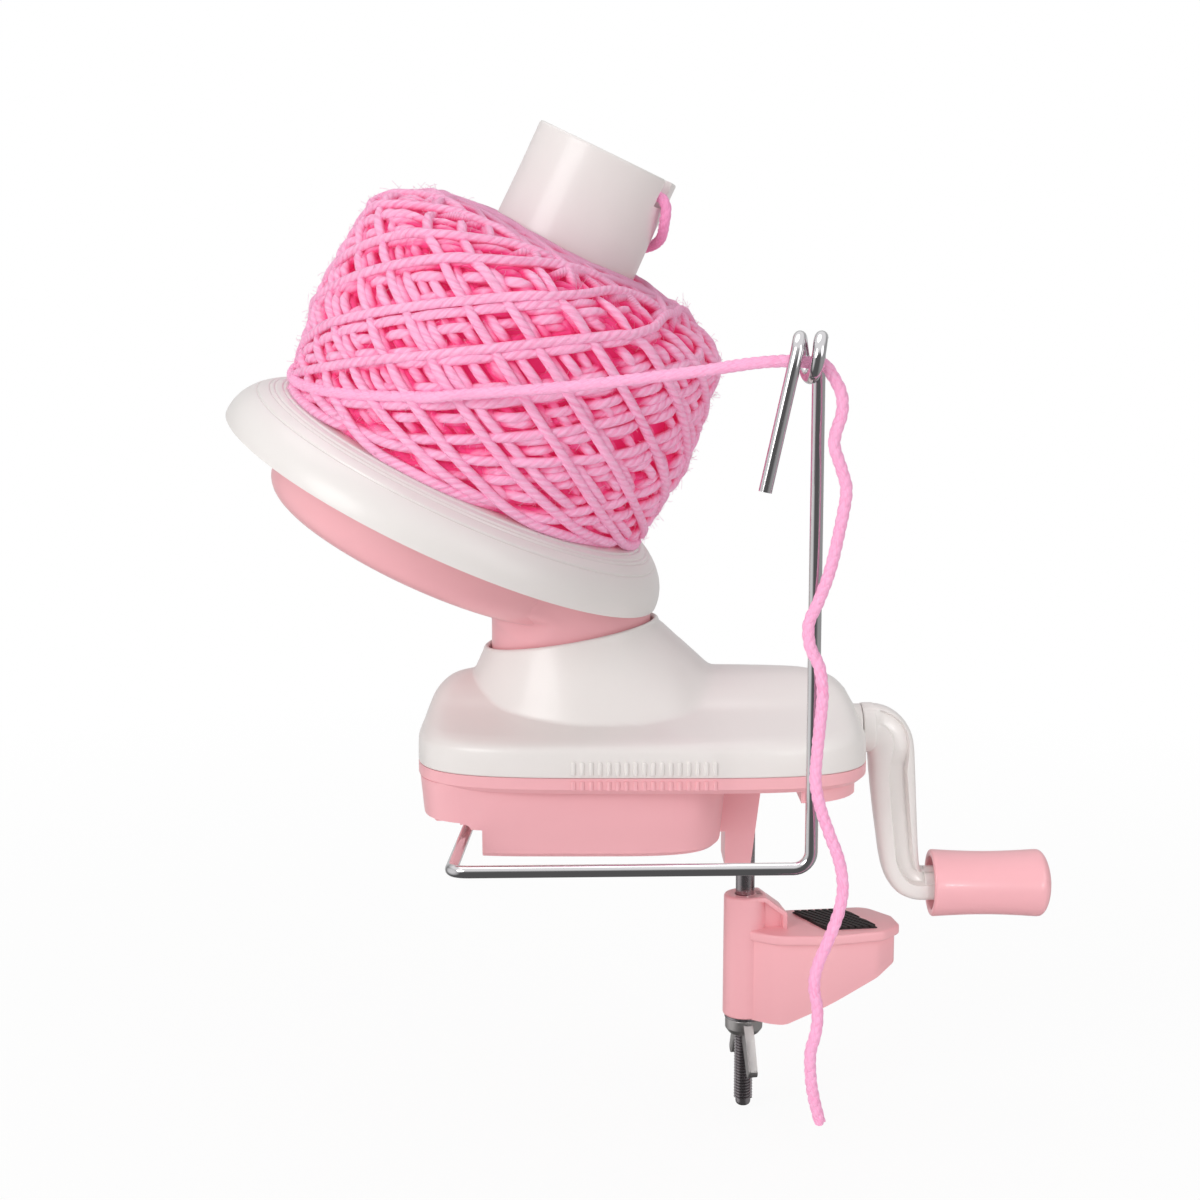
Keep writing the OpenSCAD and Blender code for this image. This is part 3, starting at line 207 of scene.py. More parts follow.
def plain_grain(name, colour, shade, rough, grit, depth):
    """Solid material with a fine grain: nylon, rubber or sintered bronze."""
    made, tree, shader = start_material(name, roughness=rough)
    coords = add(tree, "ShaderNodeTexCoord").outputs["Object"]
    noise = add(tree, "ShaderNodeTexNoise", {"Vector": coords, "Scale": 1 / grit, "Detail": 4.0})
    tint = add(
        tree, "ShaderNodeMix", {0: noise.outputs["Fac"], 6: linear(colour), 7: linear(shade)},
        data_type="RGBA",
    )
    tree.links.new(tint.outputs[2], shader.inputs["Base Color"])
    bump = add(tree, "ShaderNodeBump", {"Height": noise.outputs["Fac"], "Strength": 0.3, "Distance": depth})
    tree.links.new(bump.outputs["Normal"], shader.inputs["Normal"])
    return made


PLIES = 3
BUNDLES_ROUND = 13.0


def plied_wool(name, length, lift, plies_drawn):
    """Plied wool: three twisted plies with fibres along them, and a soft sheen of loose hairs; painted shade
    between the plies and deeper in the ball, and a painted glow.

    The strand's own UV map runs once along its length and once round it. Where the plies are real
    tubes, plies_drawn is 0 and only their fibres are drawn."""
    light, deep = [c + (1 - c) * lift for c in colours().yarn[:3]] + [1.0], list(colours().yarn_ply_shade)
    made, tree, shader = start_material(name, roughness=0.6, sheen_weight=0.6, sheen_roughness=0.6)
    shader.inputs["Sheen Tint"].default_value = linear("#FFC4E6")
    coords = add(tree, "ShaderNodeTexCoord")
    along = add(tree, "ShaderNodeSeparateXYZ", {0: coords.outputs["UV"]})
    turns = length / sizes().twist_length
    twist = add(
        tree, "ShaderNodeMath", {0: along.outputs["X"], 1: turns, 2: along.outputs["Y"]},
        operation="MULTIPLY_ADD",
    )
    plies = add(tree, "ShaderNodeMath", {0: twist.outputs[0], 1: PLIES * math.pi}, operation="MULTIPLY")
    wave = add(tree, "ShaderNodeMath", {0: plies.outputs[0]}, operation="SINE")
    hump = add(tree, "ShaderNodeMath", {0: wave.outputs[0]}, operation="ABSOLUTE")
    ridge = add(
        tree, "ShaderNodeMapRange", {"Value": hump.outputs[0], "To Min": 1 - plies_drawn, "To Max": 1.0}
    )
    # Bundles of fibres laid along the plies, drawn 0.6 mm wide and 5 mm long so that they show
    run = add(tree, "ShaderNodeMath", {0: along.outputs["X"], 1: length / (5 * MM)}, operation="MULTIPLY")
    width = add(tree, "ShaderNodeMath", {0: twist.outputs[0], 1: BUNDLES_ROUND}, operation="MULTIPLY")
    laid = add(tree, "ShaderNodeCombineXYZ", {"X": run.outputs[0], "Y": width.outputs[0]})
    fibre = add(tree, "ShaderNodeTexNoise", {"Vector": laid.outputs[0], "Scale": 1.0, "Detail": 3.0})
    patch = add(tree, "ShaderNodeTexNoise", {"Vector": coords.outputs["Object"], "Scale": 1 / (14 * MM)})
    # Painted shade: gaps between the plies and between fibre bundles take the darker between-plies colour
    tone = add(tree, "ShaderNodeMath", {0: ridge.outputs[0], 1: fibre.outputs["Fac"]}, operation="MULTIPLY")
    level = add(
        tree, "ShaderNodeMapRange",
        {"Value": tone.outputs[0], "From Min": 0.2, "From Max": 0.56, "To Min": 0.2},
    )
    ply_shaded = add(tree, "ShaderNodeMix", {0: level.outputs["Result"], 6: deep, 7: light}, data_type="RGBA")
    paler = add(
        tree, "ShaderNodeMix", {0: patch.outputs["Fac"], 6: ply_shaded.outputs[2], 7: light}, data_type="RGBA"
    )
    # Painted shade: wound yarn is drawn in a deeper, darker pink the further it lies below the ball's surface
    inside = add(tree, "ShaderNodeAttribute", attribute_name="pressed")
    sunk = add(
        tree, "ShaderNodeMapRange",
        {"Value": inside.outputs["Fac"], "From Min": 0.16, "From Max": 0.5, "To Min": 0.0, "To Max": 0.95},
    )
    colour = add(
        tree, "ShaderNodeMix", {0: sunk.outputs[0], 6: paler.outputs[2], 7: linear("#EC2479")},
        data_type="RGBA",
    )
    tree.links.new(colour.outputs[2], shader.inputs["Base Color"])
    # Painted glow: emission in the yarn's colour stands in for light scattered from hair to hair into the
    # ball
    glow_share = add(tree, "ShaderNodeMapRange", {"Value": sunk.outputs[0], "To Min": 0.35, "To Max": 1.0})
    painted_glow = add(
        tree, "ShaderNodeMix", {0: glow_share.outputs[0], 6: (0, 0, 0, 1), 7: colour.outputs[2]}, data_type="RGBA"
    )
    tree.links.new(painted_glow.outputs[2], shader.inputs["Emission Color"])
    shader.inputs["Emission Strength"].default_value = 0.17
    height = add(
        tree, "ShaderNodeMath", {0: fibre.outputs["Fac"], 1: 0.5, 2: ridge.outputs[0]},
        operation="MULTIPLY_ADD",
    )
    bump = add(tree, "ShaderNodeBump", {"Height": height.outputs[0], "Strength": 1.0, "Distance": 0.35 * MM})
    tree.links.new(bump.outputs["Normal"], shader.inputs["Normal"])
    return made


FINISHES = {}


def darker(colour, share):
    return [c * share for c in colour[:3]] + [1.0]


def finish_of(key):
    """The material of that name, made once."""
    if key not in FINISHES:
        pink, white = list(colours().pink), list(colours().white)
        makers = {
            "pink": (moulded_abs, "Pink ABS, moulded", pink, darker(pink, 0.96), 0.3),
            "white": (moulded_abs, "White ABS, moulded", white, darker(white, 0.97), 0.3),
            "chrome": (bright_metal, "Chromed steel wire, drawn", "#D6D4D6", 0.07, 1.5 * MM),
            "zinc": (bright_metal, "Zinc die casting, tumbled", "#B9B5B4", 0.24, 0.8 * MM),
            "steel": (bright_metal, "Zinc-plated steel, turned", "#A39DA0", 0.16, 0.6 * MM),
            "nylon": (plain_grain, "Nylon, moulded", "#E9E7DF", "#DDDACF", 0.45, 1.2 * MM, 0.05 * MM),
            "rubber": (plain_grain, "Rubber, moulded", "#2A2425", "#1C1819", 0.72, 0.6 * MM, 0.1 * MM),
            "bronze": (plain_grain, "Bronze, sintered", "#6B5847", "#4C3D31", 0.5, 0.4 * MM, 0.05 * MM),
        }
        maker, *values = makers[key]
        FINISHES[key] = maker(*values)
    return FINISHES[key]


def place(obj, body, material, nodes=()):
    """Link a finished piece, give it its finish and let it ride on its body."""
    if obj.name not in bpy.context.scene.collection.objects:
        bpy.context.scene.collection.objects.link(obj)
    key = material if isinstance(material, str) else None
    obj.data.materials.clear()
    obj.data.materials.append(finish_of(key) if key else material)
    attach(obj, body)
    if nodes:
        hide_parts(*nodes)
    return obj


def mesh_object(name, bm, sharp=35):
    """Smooth object from a bmesh, with edges sharper than the angle kept crisp."""
    mesh = bpy.data.meshes.new(name)
    bm.to_mesh(mesh)
    bm.free()
    mesh.shade_smooth()
    mesh.set_sharp_from_angle(angle=math.radians(sharp))
    return bpy.data.objects.new(name, mesh)


def strand_object(name, paths, radius, cyclic=False, resolution=2):
    """Round strands along lists of points, made with a bevelled curve and turned into a mesh."""
    curve = bpy.data.curves.new(name, "CURVE")
    curve.dimensions = "3D"
    curve.bevel_depth = radius
    curve.bevel_resolution = resolution
    curve.use_fill_caps = not cyclic
    for path in paths:
        spline = curve.splines.new("POLY")
        spline.points.add(len(path) - 1)
        spline.points.foreach_set("co", np.c_[path, np.ones(len(path))].astype(np.float32).ravel())
        spline.use_cyclic_u = cyclic
    helper = bpy.data.objects.new(name + "_curve", curve)
    bpy.context.scene.collection.objects.link(helper)
    graph = bpy.context.evaluated_depsgraph_get()
    mesh = bpy.data.meshes.new_from_object(helper.evaluated_get(graph))
    mesh.name = name
    bpy.data.objects.remove(helper)
    bpy.data.curves.remove(curve)
    mesh.shade_smooth()
    return bpy.data.objects.new(name, mesh)


def corner_bend(before, at, after, radius, steps):
    """Points of a round bend between two straight runs."""
    at = Vector(at)
    a, b = (Vector(before) - at).normalized(), (Vector(after) - at).normalized()
    half = a.angle(b) / 2
    middle = at + (a + b).normalized() * radius / math.sin(half)
    first = at + a * radius / math.tan(half) - middle
    last = at + b * radius / math.tan(half) - middle
    turn = math.pi - 2 * half
    points = []
    for k in range(steps + 1):
        near, far = math.sin(turn * (1 - k / steps)), math.sin(turn * k / steps)
        points.append(middle + (first * near + last * far) / math.sin(turn))
    return points


def rounded(corners, steps=6):
    """Closed outline from corners given as (across, up, rounding)."""
    points = []
    for i, (x, y, bend) in enumerate(corners):
        if bend:
            after = corners[(i + 1) % len(corners)]
            points += corner_bend(corners[i - 1][:2], (x, y), after[:2], bend, steps)
        else:
            points.append(Vector((x, y)))
    return points


def spun(outline, steps=96):
    """Outline of (radius, height) in millimetres, turned once round the upright axis."""
    bm = bmesh.new()
    ring = [bm.verts.new((r * MM, 0, z * MM)) for r, z in outline]
    edges = [bm.edges.new(pair) for pair in zip(ring, ring[1:])]
    if outline[0][0] or outline[-1][0]:
        edges.append(bm.edges.new((ring[-1], ring[0])))
    bmesh.ops.spin(
        bm, geom=ring + edges, cent=(0, 0, 0), axis=(0, 0, 1), dvec=(0, 0, 0),
        angle=2 * math.pi, steps=steps, use_merge=True,
    )
    bmesh.ops.remove_doubles(bm, verts=bm.verts, dist=1e-6)
    bmesh.ops.recalc_face_normals(bm, faces=bm.faces)
    return bm


def slab(outline, low, high, side="Y"):
    """Flat outline in millimetres pushed out from low to high; it stands across Y or lies across Z."""
    bm = bmesh.new()
    at = (lambda p: (p[0], low, p[1])) if side == "Y" else (lambda p: (p[0], p[1], low))
    face = bm.faces.new([bm.verts.new(Vector(at(p)) * MM) for p in outline])
    out = bmesh.ops.extrude_face_region(bm, geom=[face])
    way = Vector((0, 1, 0)) if side == "Y" else Vector((0, 0, 1))
    pushed = [v for v in out["geom"] if isinstance(v, bmesh.types.BMVert)]
    bmesh.ops.translate(bm, verts=pushed, vec=way * (high - low) * MM)
    bmesh.ops.recalc_face_normals(bm, faces=bm.faces)
    return bm


def soften(bm, width, angle=40, segments=3):
    """Round the edges that are sharper than the angle."""
    sharp = [e for e in bm.edges if e.is_manifold and e.calc_face_angle(0) > math.radians(angle)]
    bmesh.ops.bevel(
        bm, geom=sharp, offset=width * MM, offset_type="OFFSET", segments=segments, profile=0.5,
        affect="EDGES", clamp_overlap=True, material=-1,
    )
    return bm


def join(*parts):
    """One bmesh from several, each with the matrix that sets it in place."""
    whole = bmesh.new()
    for part, matrix in parts:
        part.transform(matrix)
        step = bpy.data.meshes.new("step")
        part.to_mesh(step)
        part.free()
        whole.from_mesh(step)
        bpy.data.meshes.remove(step)
    return whole


def combined(bm, *cutters):
    """The mesh after cuts, unions and intersections, each given as (operation, bmesh)."""
    scene = bpy.context.scene.collection.objects
    body = mesh_object("body", bm)
    scene.link(body)
    helpers = []
    for operation, cutter in cutters:
        helper = mesh_object("cutter", cutter)
        scene.link(helper)
        helpers.append(helper)
        step = body.modifiers.new("step", "BOOLEAN")
        step.operation, step.solver, step.object = operation, "EXACT", helper
    graph = bpy.context.evaluated_depsgraph_get()
    mesh = bpy.data.meshes.new_from_object(body.evaluated_get(graph))
    result = bmesh.new()
    result.from_mesh(mesh)
    bpy.data.meshes.remove(mesh)
    for helper in helpers + [body]:
        bpy.data.meshes.remove(helper.data)
    bmesh.ops.remove_doubles(result, verts=result.verts, dist=1e-6)
    bmesh.ops.recalc_face_normals(result, faces=result.faces)
    return result


def lofted(rings, close_ends=False):
    """Skin over closed rings of points in millimetres, joined one to the next."""
    bm = bmesh.new()
    verts = [bm.verts.new(Vector(p) * MM) for p in rings[0]]
    edges = [bm.edges.new((verts[i - 1], verts[i])) for i in range(len(verts))]
    first = edges
    for ring in rings[1:]:
        grown = bmesh.ops.extrude_edge_only(bm, edges=edges)["geom"]
        fresh = {v for v in grown if isinstance(v, bmesh.types.BMVert)}
        edges = [e for e in grown if isinstance(e, bmesh.types.BMEdge) and fresh.issuperset(e.verts)]
        verts = [next(e.other_vert(v) for e in v.link_edges if e.other_vert(v) in fresh) for v in verts]
        for v, p in zip(verts, ring):
            v.co = Vector(p) * MM
    if close_ends:
        for loop in (first, edges):
            bmesh.ops.edgeloop_fill(bm, edges=loop)
    bmesh.ops.recalc_face_normals(bm, faces=bm.faces)
    return bm


def distances(path):
    """How far each point lies along a path."""
    return np.r_[0, np.cumsum(np.linalg.norm(np.diff(path, axis=0), axis=1))]


def moved(points, matrix):
    """Points in millimetres carried into the frame of a matrix, in metres."""
    place_in = np.array(matrix)
    return points * MM @ place_in[:3, :3].T + place_in[:3, 3]


def melted(a, b, width):
    """The lesser of two values, blended smoothly where they come within the width of each other."""
    share = np.clip(0.5 + 0.5 * (b - a) / width, 0, 1)
    return b + (a - b) * share - width * share * (1 - share)


def smooth_path(points, step):
    """Points on a smooth curve through the given ones, evenly spaced."""
    knots = np.array(points, float)
    ends = np.vstack([2 * knots[0] - knots[1], knots, 2 * knots[-1] - knots[-2]])
    fine = []
    for i in range(1, len(ends) - 2):
        p0, p1, p2, p3 = ends[i - 1 : i + 3]
        t = np.linspace(0, 1, 24, endpoint=False)[:, None]
        bow, twist = 2 * p0 - 5 * p1 + 4 * p2 - p3, 3 * p1 - p0 - 3 * p2 + p3
        fine.append(0.5 * (2 * p1 + (p2 - p0) * t + bow * t**2 + twist * t**3))
    fine = np.vstack(fine + [knots[-1:]])
    far = distances(fine)
    even = np.linspace(0, far[-1], max(8, int(round(far[-1] / step)) + 1))
    return np.c_[[np.interp(even, far, fine[:, k]) for k in range(3)]].T


def spool_matrix():
    return (
        Matrix.Translation((0, 0, APEX * MM))
        @ Matrix.Rotation(SPOOL_AZIMUTH, 4, "Z")
        @ Matrix.Rotation(SPOOL_TILT, 4, "Y")
    )


# Camera fitted to the photograph, in millimetres and degrees
CAMERA_PLACE = (7.5, -476.19, 123.95)
CAMERA_DIP = 7.696
CAMERA_LENS = 55.5
FLOOR_Z = -78.5
# Soft lamps as (name, place, aim, size, power)
LAMPS = [
    ("key", (-700, -760, 520), (0, 0, 80), 640, 4.3),
    ("fill", (760, -620, 420), (20, 0, 60), 700, 1.7),
    ("top", (-160, 60, 980), (0, 0, 60), 760, 1.85),
    ("low", (-420, -640, -30), (0, 0, 60), 420, 0.9),
]
# Sides of the room that mirrors see as (axis, where it is dim, where it is lit, power)
ROOM = [("Z", 0.2, 0.6, 1.0), ("X", -0.65, -0.95, 0.85), ("Y", 0.6, 0.95, 0.65), ("X", 0.35, 0.8, 0.4)]
ROOM_DIM = 0.12
AMBIENT = 0.45


def aimed_lamp(name, kind, spot, aim, power):
    """Lamp at a spot and turned to its aim, both in millimetres."""
    lamp = bpy.data.objects.new(name, bpy.data.lights.new(name, kind))
    lamp.data.energy = power
    lamp.location = Vector(spot) * MM
    lamp.rotation_euler = (Vector(aim) - Vector(spot)).to_track_quat("-Z", "Y").to_euler()
    bpy.context.scene.collection.objects.link(lamp)
    return lamp


class WINDER_OT_stage(bpy.types.Operator):
    """Camera, soft studio light, and a plain pale floor with a backdrop"""

    bl_idname = "winder.stage"
    bl_label = "Stage"

    def execute(self, context):
        scene = context.scene
        scene.view_settings.view_transform = "Standard"
        lens = bpy.data.cameras.new("camera")
        lens.sensor_width = 36
        lens.lens = CAMERA_LENS
        lens.clip_start, lens.clip_end = 0.02, 20
        camera = bpy.data.objects.new("camera", lens)
        camera.location = Vector(CAMERA_PLACE) * MM
        camera.rotation_euler = (math.radians(90 - CAMERA_DIP), 0, 0)
        scene.collection.objects.link(camera)
        scene.camera = camera

        for name, spot, aim, size, power in LAMPS:
            lamp = aimed_lamp(name, "AREA", spot, aim, power)
            lamp.data.shape, lamp.data.size = "DISK", size * MM
            lamp.visible_glossy = name != "low"
        # A soft spot keeps the crank as bright as the body
        lamp = aimed_lamp("crank_spot", "SPOT", (330, -600, 60), (106, 0, 2), 3.4)
        lamp.data.spot_size, lamp.data.spot_blend = math.radians(17), 1.0
        lamp.data.shadow_soft_size = 60 * MM

        world = bpy.data.worlds.new("studio")
        world.use_nodes = True
        scene.world = world
        tree = world.node_tree
        rays = add(tree, "ShaderNodeLightPath")
        seen = add(
            tree, "ShaderNodeMath",
            {0: rays.outputs["Is Camera Ray"], 1: rays.outputs["Is Transmission Ray"]}, operation="MAXIMUM",
        )
        # Mirrors see a lit ceiling, a bright left side and the backdrop, and otherwise a dim room
        way = add(tree, "ShaderNodeSeparateXYZ", {0: add(tree, "ShaderNodeTexCoord").outputs["Generated"]})
        room = None
        for axis, dim, lit, power in ROOM:
            side = add(
                tree, "ShaderNodeMapRange",
                {
                    "Value": way.outputs[axis], "From Min": dim, "From Max": lit,
                    "To Min": ROOM_DIM, "To Max": power,
                },
            )
            room = side if room is None else add(
                tree, "ShaderNodeMath", {0: room.outputs[0], 1: side.outputs[0]}, operation="MAXIMUM"
            )
        ambient = add(
            tree, "ShaderNodeMix", {0: rays.outputs["Is Glossy Ray"], 2: AMBIENT, 3: room.outputs[0]}
        )
        strength = add(tree, "ShaderNodeMix", {0: seen.outputs[0], 2: ambient.outputs[0], 3: 1.0})
        back = tree.nodes["Background"]
        back.inputs["Color"].default_value = (1, 1, 1, 1)
        tree.links.new(strength.outputs[0], back.inputs["Strength"])

        material, tree, shader = start_material("Paper backdrop, pale", roughness=1.0)
        shader.inputs["Base Color"].default_value = linear("#F7F6F5")
        coords = add(tree, "ShaderNodeTexCoord").outputs["Object"]
        fibre = add(tree, "ShaderNodeTexNoise", {"Vector": coords, "Scale": 1 / (2 * MM), "Detail": 3.0})
        bump = add(
            tree, "ShaderNodeBump",
            {"Height": fibre.outputs["Fac"], "Strength": 0.03, "Distance": 0.1 * MM},
        )
        tree.links.new(bump.outputs["Normal"], shader.inputs["Normal"])
        rays = add(tree, "ShaderNodeLightPath")
        glow = add(tree, "ShaderNodeEmission", {"Color": (1, 1, 1, 1), "Strength": 1.0})
        # Near the object the floor keeps its shadow, and further out it fades to plain white
        reach = add(tree, "ShaderNodeVectorMath", {0: coords}, operation="LENGTH")
        fade = add(
            tree, "ShaderNodeMapRange",
            {"Value": reach.outputs["Value"], "From Min": 0.15, "From Max": 0.6, "To Min": 0.93},
        )
        share = add(
            tree, "ShaderNodeMath", {0: rays.outputs["Is Camera Ray"], 1: fade.outputs["Result"]},
            operation="MULTIPLY",
        )
        blend = add(
            tree, "ShaderNodeMixShader",
            {0: share.outputs[0], 1: shader.outputs[0], 2: glow.outputs[0]},
        )
        tree.links.new(blend.outputs[0], tree.nodes["Material Output"].inputs["Surface"])
        bm = bmesh.new()
        bmesh.ops.create_grid(bm, x_segments=1, y_segments=1, size=4)
        bmesh.ops.translate(bm, verts=bm.verts, vec=(0, 0, FLOOR_Z * MM))
        floor = mesh_object("floor", bm)
        scene.collection.objects.link(floor)
        floor.data.materials.append(material)
        floor.visible_glossy = False
        return {"FINISHED"}


# Yarn from the ball to the guide's eye, and its tail below the eye as (along X, height)
FEED_ROUTE = [
    (-31, -48.6, 113.2), (-24, -50, 113.8), (-16, -52, 114.4), (-8, -54.2, 115), (0, -56.6, 115.7),
    (8, -59.2, 116.6), (16, -62.2, 117.6), (24, -65.4, 118.6), (31, -68.6, 119.6), (37, -72, 120.6),
    (42, -75.2, 121.3), (46, -77.6, 121.6), (49, -79, 121.6), (51, -79.3, 121.4), (53.2, -79.3, 121.2),
]
TAIL_ROUTE = [
    (53.9, 121.2), (55.6, 120.6), (57.4, 118), (59, 114.6), (59.2, 110.6), (58, 106.6), (57.7, 103.4),
    (59.4, 98.4), (60.4, 94.4), (59.8, 89), (58.4, 82), (57, 76), (54.8, 70), (52.8, 65), (53.2, 60),
    (55.2, 55.6), (56, 50), (55.6, 43), (55, 36), (54.8, 30), (56, 24), (58, 18.4), (60.2, 12.4),
    (61.2, 6.4), (60.4, 0.6), (58.4, -5.4), (56, -11.4), (55.2, -16.4), (56, -22), (55.8, -27),
    (54.6, -32), (54.8, -38), (55.6, -43), (57, -48.4),
]
# Yarn end as (radius, height, angle from the slot)
TUCK_ROUTE = [
    (13.6, 16.6, 0), (16.4, 18.2, 0), (19, 18.2, 0), (20.6, 16.6, 0.04), (21.1, 13, 0.14), (20.9, 9.4, 0.42),
    (20.9, 6.4, 0.8), (21, 3.4, 1.15), (21.2, 0.5, 1.4),
]


def twisted(path, offset, twist):
    """Paths of three plies twisted round a path, all in metres."""
    along = np.gradient(path, axis=0)
    along /= np.linalg.norm(along, axis=1)[:, None]
    side = np.zeros_like(path)
    side[0] = np.cross(along[0], (0.3, 1.0, 0.2))
    for i in range(len(path)):
        lean = side[max(i - 1, 0)]
        lean = lean - along[i] * (lean @ along[i])
        side[i] = lean / np.linalg.norm(lean)
    other = np.cross(along, side)
    far = distances(path)
    plies = []
    for k in range(PLIES):
        angle = (2 * math.pi * (far / twist + k / PLIES))[:, None]
        plies.append(path + offset * (np.cos(angle) * side + np.sin(angle) * other))
    return plies


# Yarn that lies outside is this much paler than its colour
LOOSE_LIFT = 0.14
# Share of the yarn's radius from its middle to a ply's
PLY_OFFSET = 0.27
# Spacing of the points along a strand, in millimetres
STRAND_STEP = 0.45


def yarn_strand(name, path, finish, lift):
    """Three twisted plies along a path in metres; gives the strand and its length."""
    radius, length = sizes().yarn_diameter / 2, float(distances(path)[-1])
    plies = twisted(path, PLY_OFFSET * radius, sizes().twist_length)
    strand = strand_object(name, plies, (1 - PLY_OFFSET) * radius)
    bpy.context.scene.collection.objects.link(strand)
    strand.data.materials.append(plied_wool(finish, length, lift, 0.0))
    return strand, length


class WINDER_OT_loose_yarn(bpy.types.Operator):
    """Yarn from the ball through the guide's eye, and its hanging tail"""

    bl_idname = "winder.loose_yarn"
    bl_label = "Loose yarn"

    def execute(self, context):
        into_ball = [(-33, -21, 114), (-37, -30, 113.5), (-37, -41, 113)]
        route = into_ball + FEED_ROUTE + [(x, -79.3, z) for x, z in TAIL_ROUTE]
        path = smooth_path(route, STRAND_STEP) * MM
        strand, length = yarn_strand("yarn_run", path, "Wool, plied, loose", LOOSE_LIFT)
        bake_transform(strand)
        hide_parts("yarn_feed", "yarn_tail")
        return {"FINISHED"}


# Outer surface of the ball as (depth, radius), and the middle of the wraps' swing along the spool
BALL_SURFACE = [
    (1.6, 19.5), (2.3, 24), (4.3, 36), (8.8, 45), (12.3, 49), (26.3, 51), (41.3, 52.5), (51.3, 51), (64, 50),
]
SWING_MIDDLE = 32.5
# Longest swing of a wrap to either side, and where it starts to turn back
SWING = 32.5
TURN_BACK = 26
# Degrees from one wrap to the next in the outer layer and further in, and their scatter
OUTER_WRAPS = 46
OUTER_STEP, INNER_STEP, STEP_SCATTER = 23.9, 37.3, 2.6
# Wound strands are pressed to this share of the loose yarn's thickness
WOUND_SHARE = 0.9
TOP_RUNS = 64
HAIRS = 10400
HAIR_RADIUS = 0.04
# Width of the cells in which the layers of yarn are added up, in millimetres
CELL = 0.5


def surface_at(depth):
    """Radius of the ball's surface at a depth along the spool, and its slope there."""
    depths, radii = np.array(BALL_SURFACE).T
    slope = (np.interp(depth + 1, depths, radii) - np.interp(depth - 1, depths, radii)) / 2
    return np.interp(depth, depths, radii), slope


def ball_point(angle, depth, sunk):
    """Place on the spool at an angle and depth, sunk below the ball's surface along its normal."""
    radius, slope = surface_at(depth)
    share = sunk / np.sqrt(1 + slope**2)
    radius, depth = radius - share, depth + share * slope
    return np.c_[radius * np.cos(angle), radius * np.sin(angle), -depth]


def wound_wraps(count, radius, last_turn):
    """Wraps of the ball in the spool's frame, each pressed down by the ones laid over it.

    The eye stays level while the leaning spool turns, so a wrap swings along the spool once a turn, and
    each wrap lies a little further round than the one before it."""
    rng = np.random.default_rng(11)
    angle = np.radians(np.arange(360))
    row = np.arange(360)
    wraps = []
    for k in range(count):
        outer = count - k
        step = OUTER_STEP if outer < OUTER_WRAPS else INNER_STEP
        turn = last_turn - math.radians(step * outer + rng.normal(0, STEP_SCATTER))
        swing = SWING - (5.0 * (1 - k / count) + 4.0) * rng.random()
        depth = swing * np.cos(angle - turn)
        held = np.abs(depth) - TURN_BACK
        # It turns back softly, just above the flange and a little way in on the flat top
        low, high = TURN_BACK + 5.4 * np.tanh(held / 4.2), TURN_BACK + 2.9 * np.tanh(held / 3)
        depth = SWING_MIDDLE + np.where(held > 0, np.where(depth > 0, low, -high), depth)
        depth += 0.35 * np.sin(2 * angle + rng.uniform(0, 6)) + 0.2 * np.sin(5 * angle + rng.uniform(0, 6))
        wraps.append(np.clip(depth, 1.9, 63.0))
    cover = np.zeros((360, int(75 / CELL)))
    reach = np.arange(-8, 9)
    press = 1.6 * radius * np.exp(-0.5 * (reach * CELL / (0.8 * radius)) ** 2)
    deepest = 4.6 * radius
    paths = []
    for depth in reversed(wraps):
        column = np.round(depth / CELL).astype(int) + 10
        sunk = deepest * (1 - np.exp(-cover[row, column] / deepest))
        for _ in range(6):
            sunk = (np.roll(sunk, 1) + 2 * sunk + np.roll(sunk, -1)) / 4
        for d, amount in zip(reach, press):
            cover[row, column + d] += amount
        paths.append(ball_point(angle, depth, sunk + 0.6 * radius)[::2])
    return paths[::-1]


def top_runs(count, radius):
    """Runs of yarn that cross the ball's flat top close by the tube, in the spool's frame."""
    rng = np.random.default_rng(7)
    depths, radii = np.array(BALL_SURFACE[:5]).T
    runs = []
    for k in range(count):
        middle = math.radians(137.5 * k) + rng.normal(0, 0.1)
        nearest = 19.0 + radius + 14 * rng.random() ** 1.6
        half = math.acos(nearest / 46)
        angle = middle + np.linspace(-half, half, 50)
        reach = nearest / np.cos(angle - middle)
        # Later runs lie on earlier ones, and both ends dive below the ball's shoulder
        sunk = radius * (0.75 + 1.7 * (1 - k / count)) + 4.5 * np.clip((reach - 38) / 8, 0, 1)
        runs.append(ball_point(angle, np.interp(reach, radii, depths), sunk))
    return runs


def mark_depth(mesh, frame_matrix):
    """Store how far each point lies below the ball's surface, from 0 outside to 1 at four millimetres, for
    the wool's painted shade.
    """
    points = np.empty(3 * len(mesh.vertices), np.float32)
    mesh.vertices.foreach_get("co", points)
    back = np.array(frame_matrix.inverted())
    points = points.reshape(-1, 3) @ back[:3, :3].T + back[:3, 3]
    radius, slope = surface_at(np.clip(-points[:, 2] / MM, 0, 64))
    below = (radius - np.hypot(points[:, 0], points[:, 1]) / MM) / np.sqrt(1 + slope**2)
    mesh.attributes.new("pressed", "FLOAT", "POINT").data.foreach_set(
        "value", np.clip(below / 4, 0, 1).astype(np.float32)
    )


def loose_hairs(wraps, radius, count):
    """Short bent hairs that stand off the outer wraps; wraps are paths about the ball's middle, in metres."""
    rng = np.random.default_rng(5)
    middle = np.mean([w.mean(axis=0) for w in wraps], axis=0)
    hairs = []
    for _ in range(count):
        wrap = wraps[rng.integers(len(wraps))]
        at = wrap[rng.integers(len(wrap) - 1)]
        out = (at - middle) / np.linalg.norm(at - middle)
        way = out * rng.uniform(0.15, 0.8) + rng.normal(0, 0.7, 3)
        way /= np.linalg.norm(way)
        bend = rng.normal(0, 0.45, 3) - 0.35 * out
        length = rng.uniform(0.5, 2.0) * MM
        steps = np.linspace(0, 1, 5)[:, None]
        root = at + out * 0.6 * radius
        hairs.append(root + way * (0.3 * radius + length * steps) + bend * length * steps**2)
    return hairs


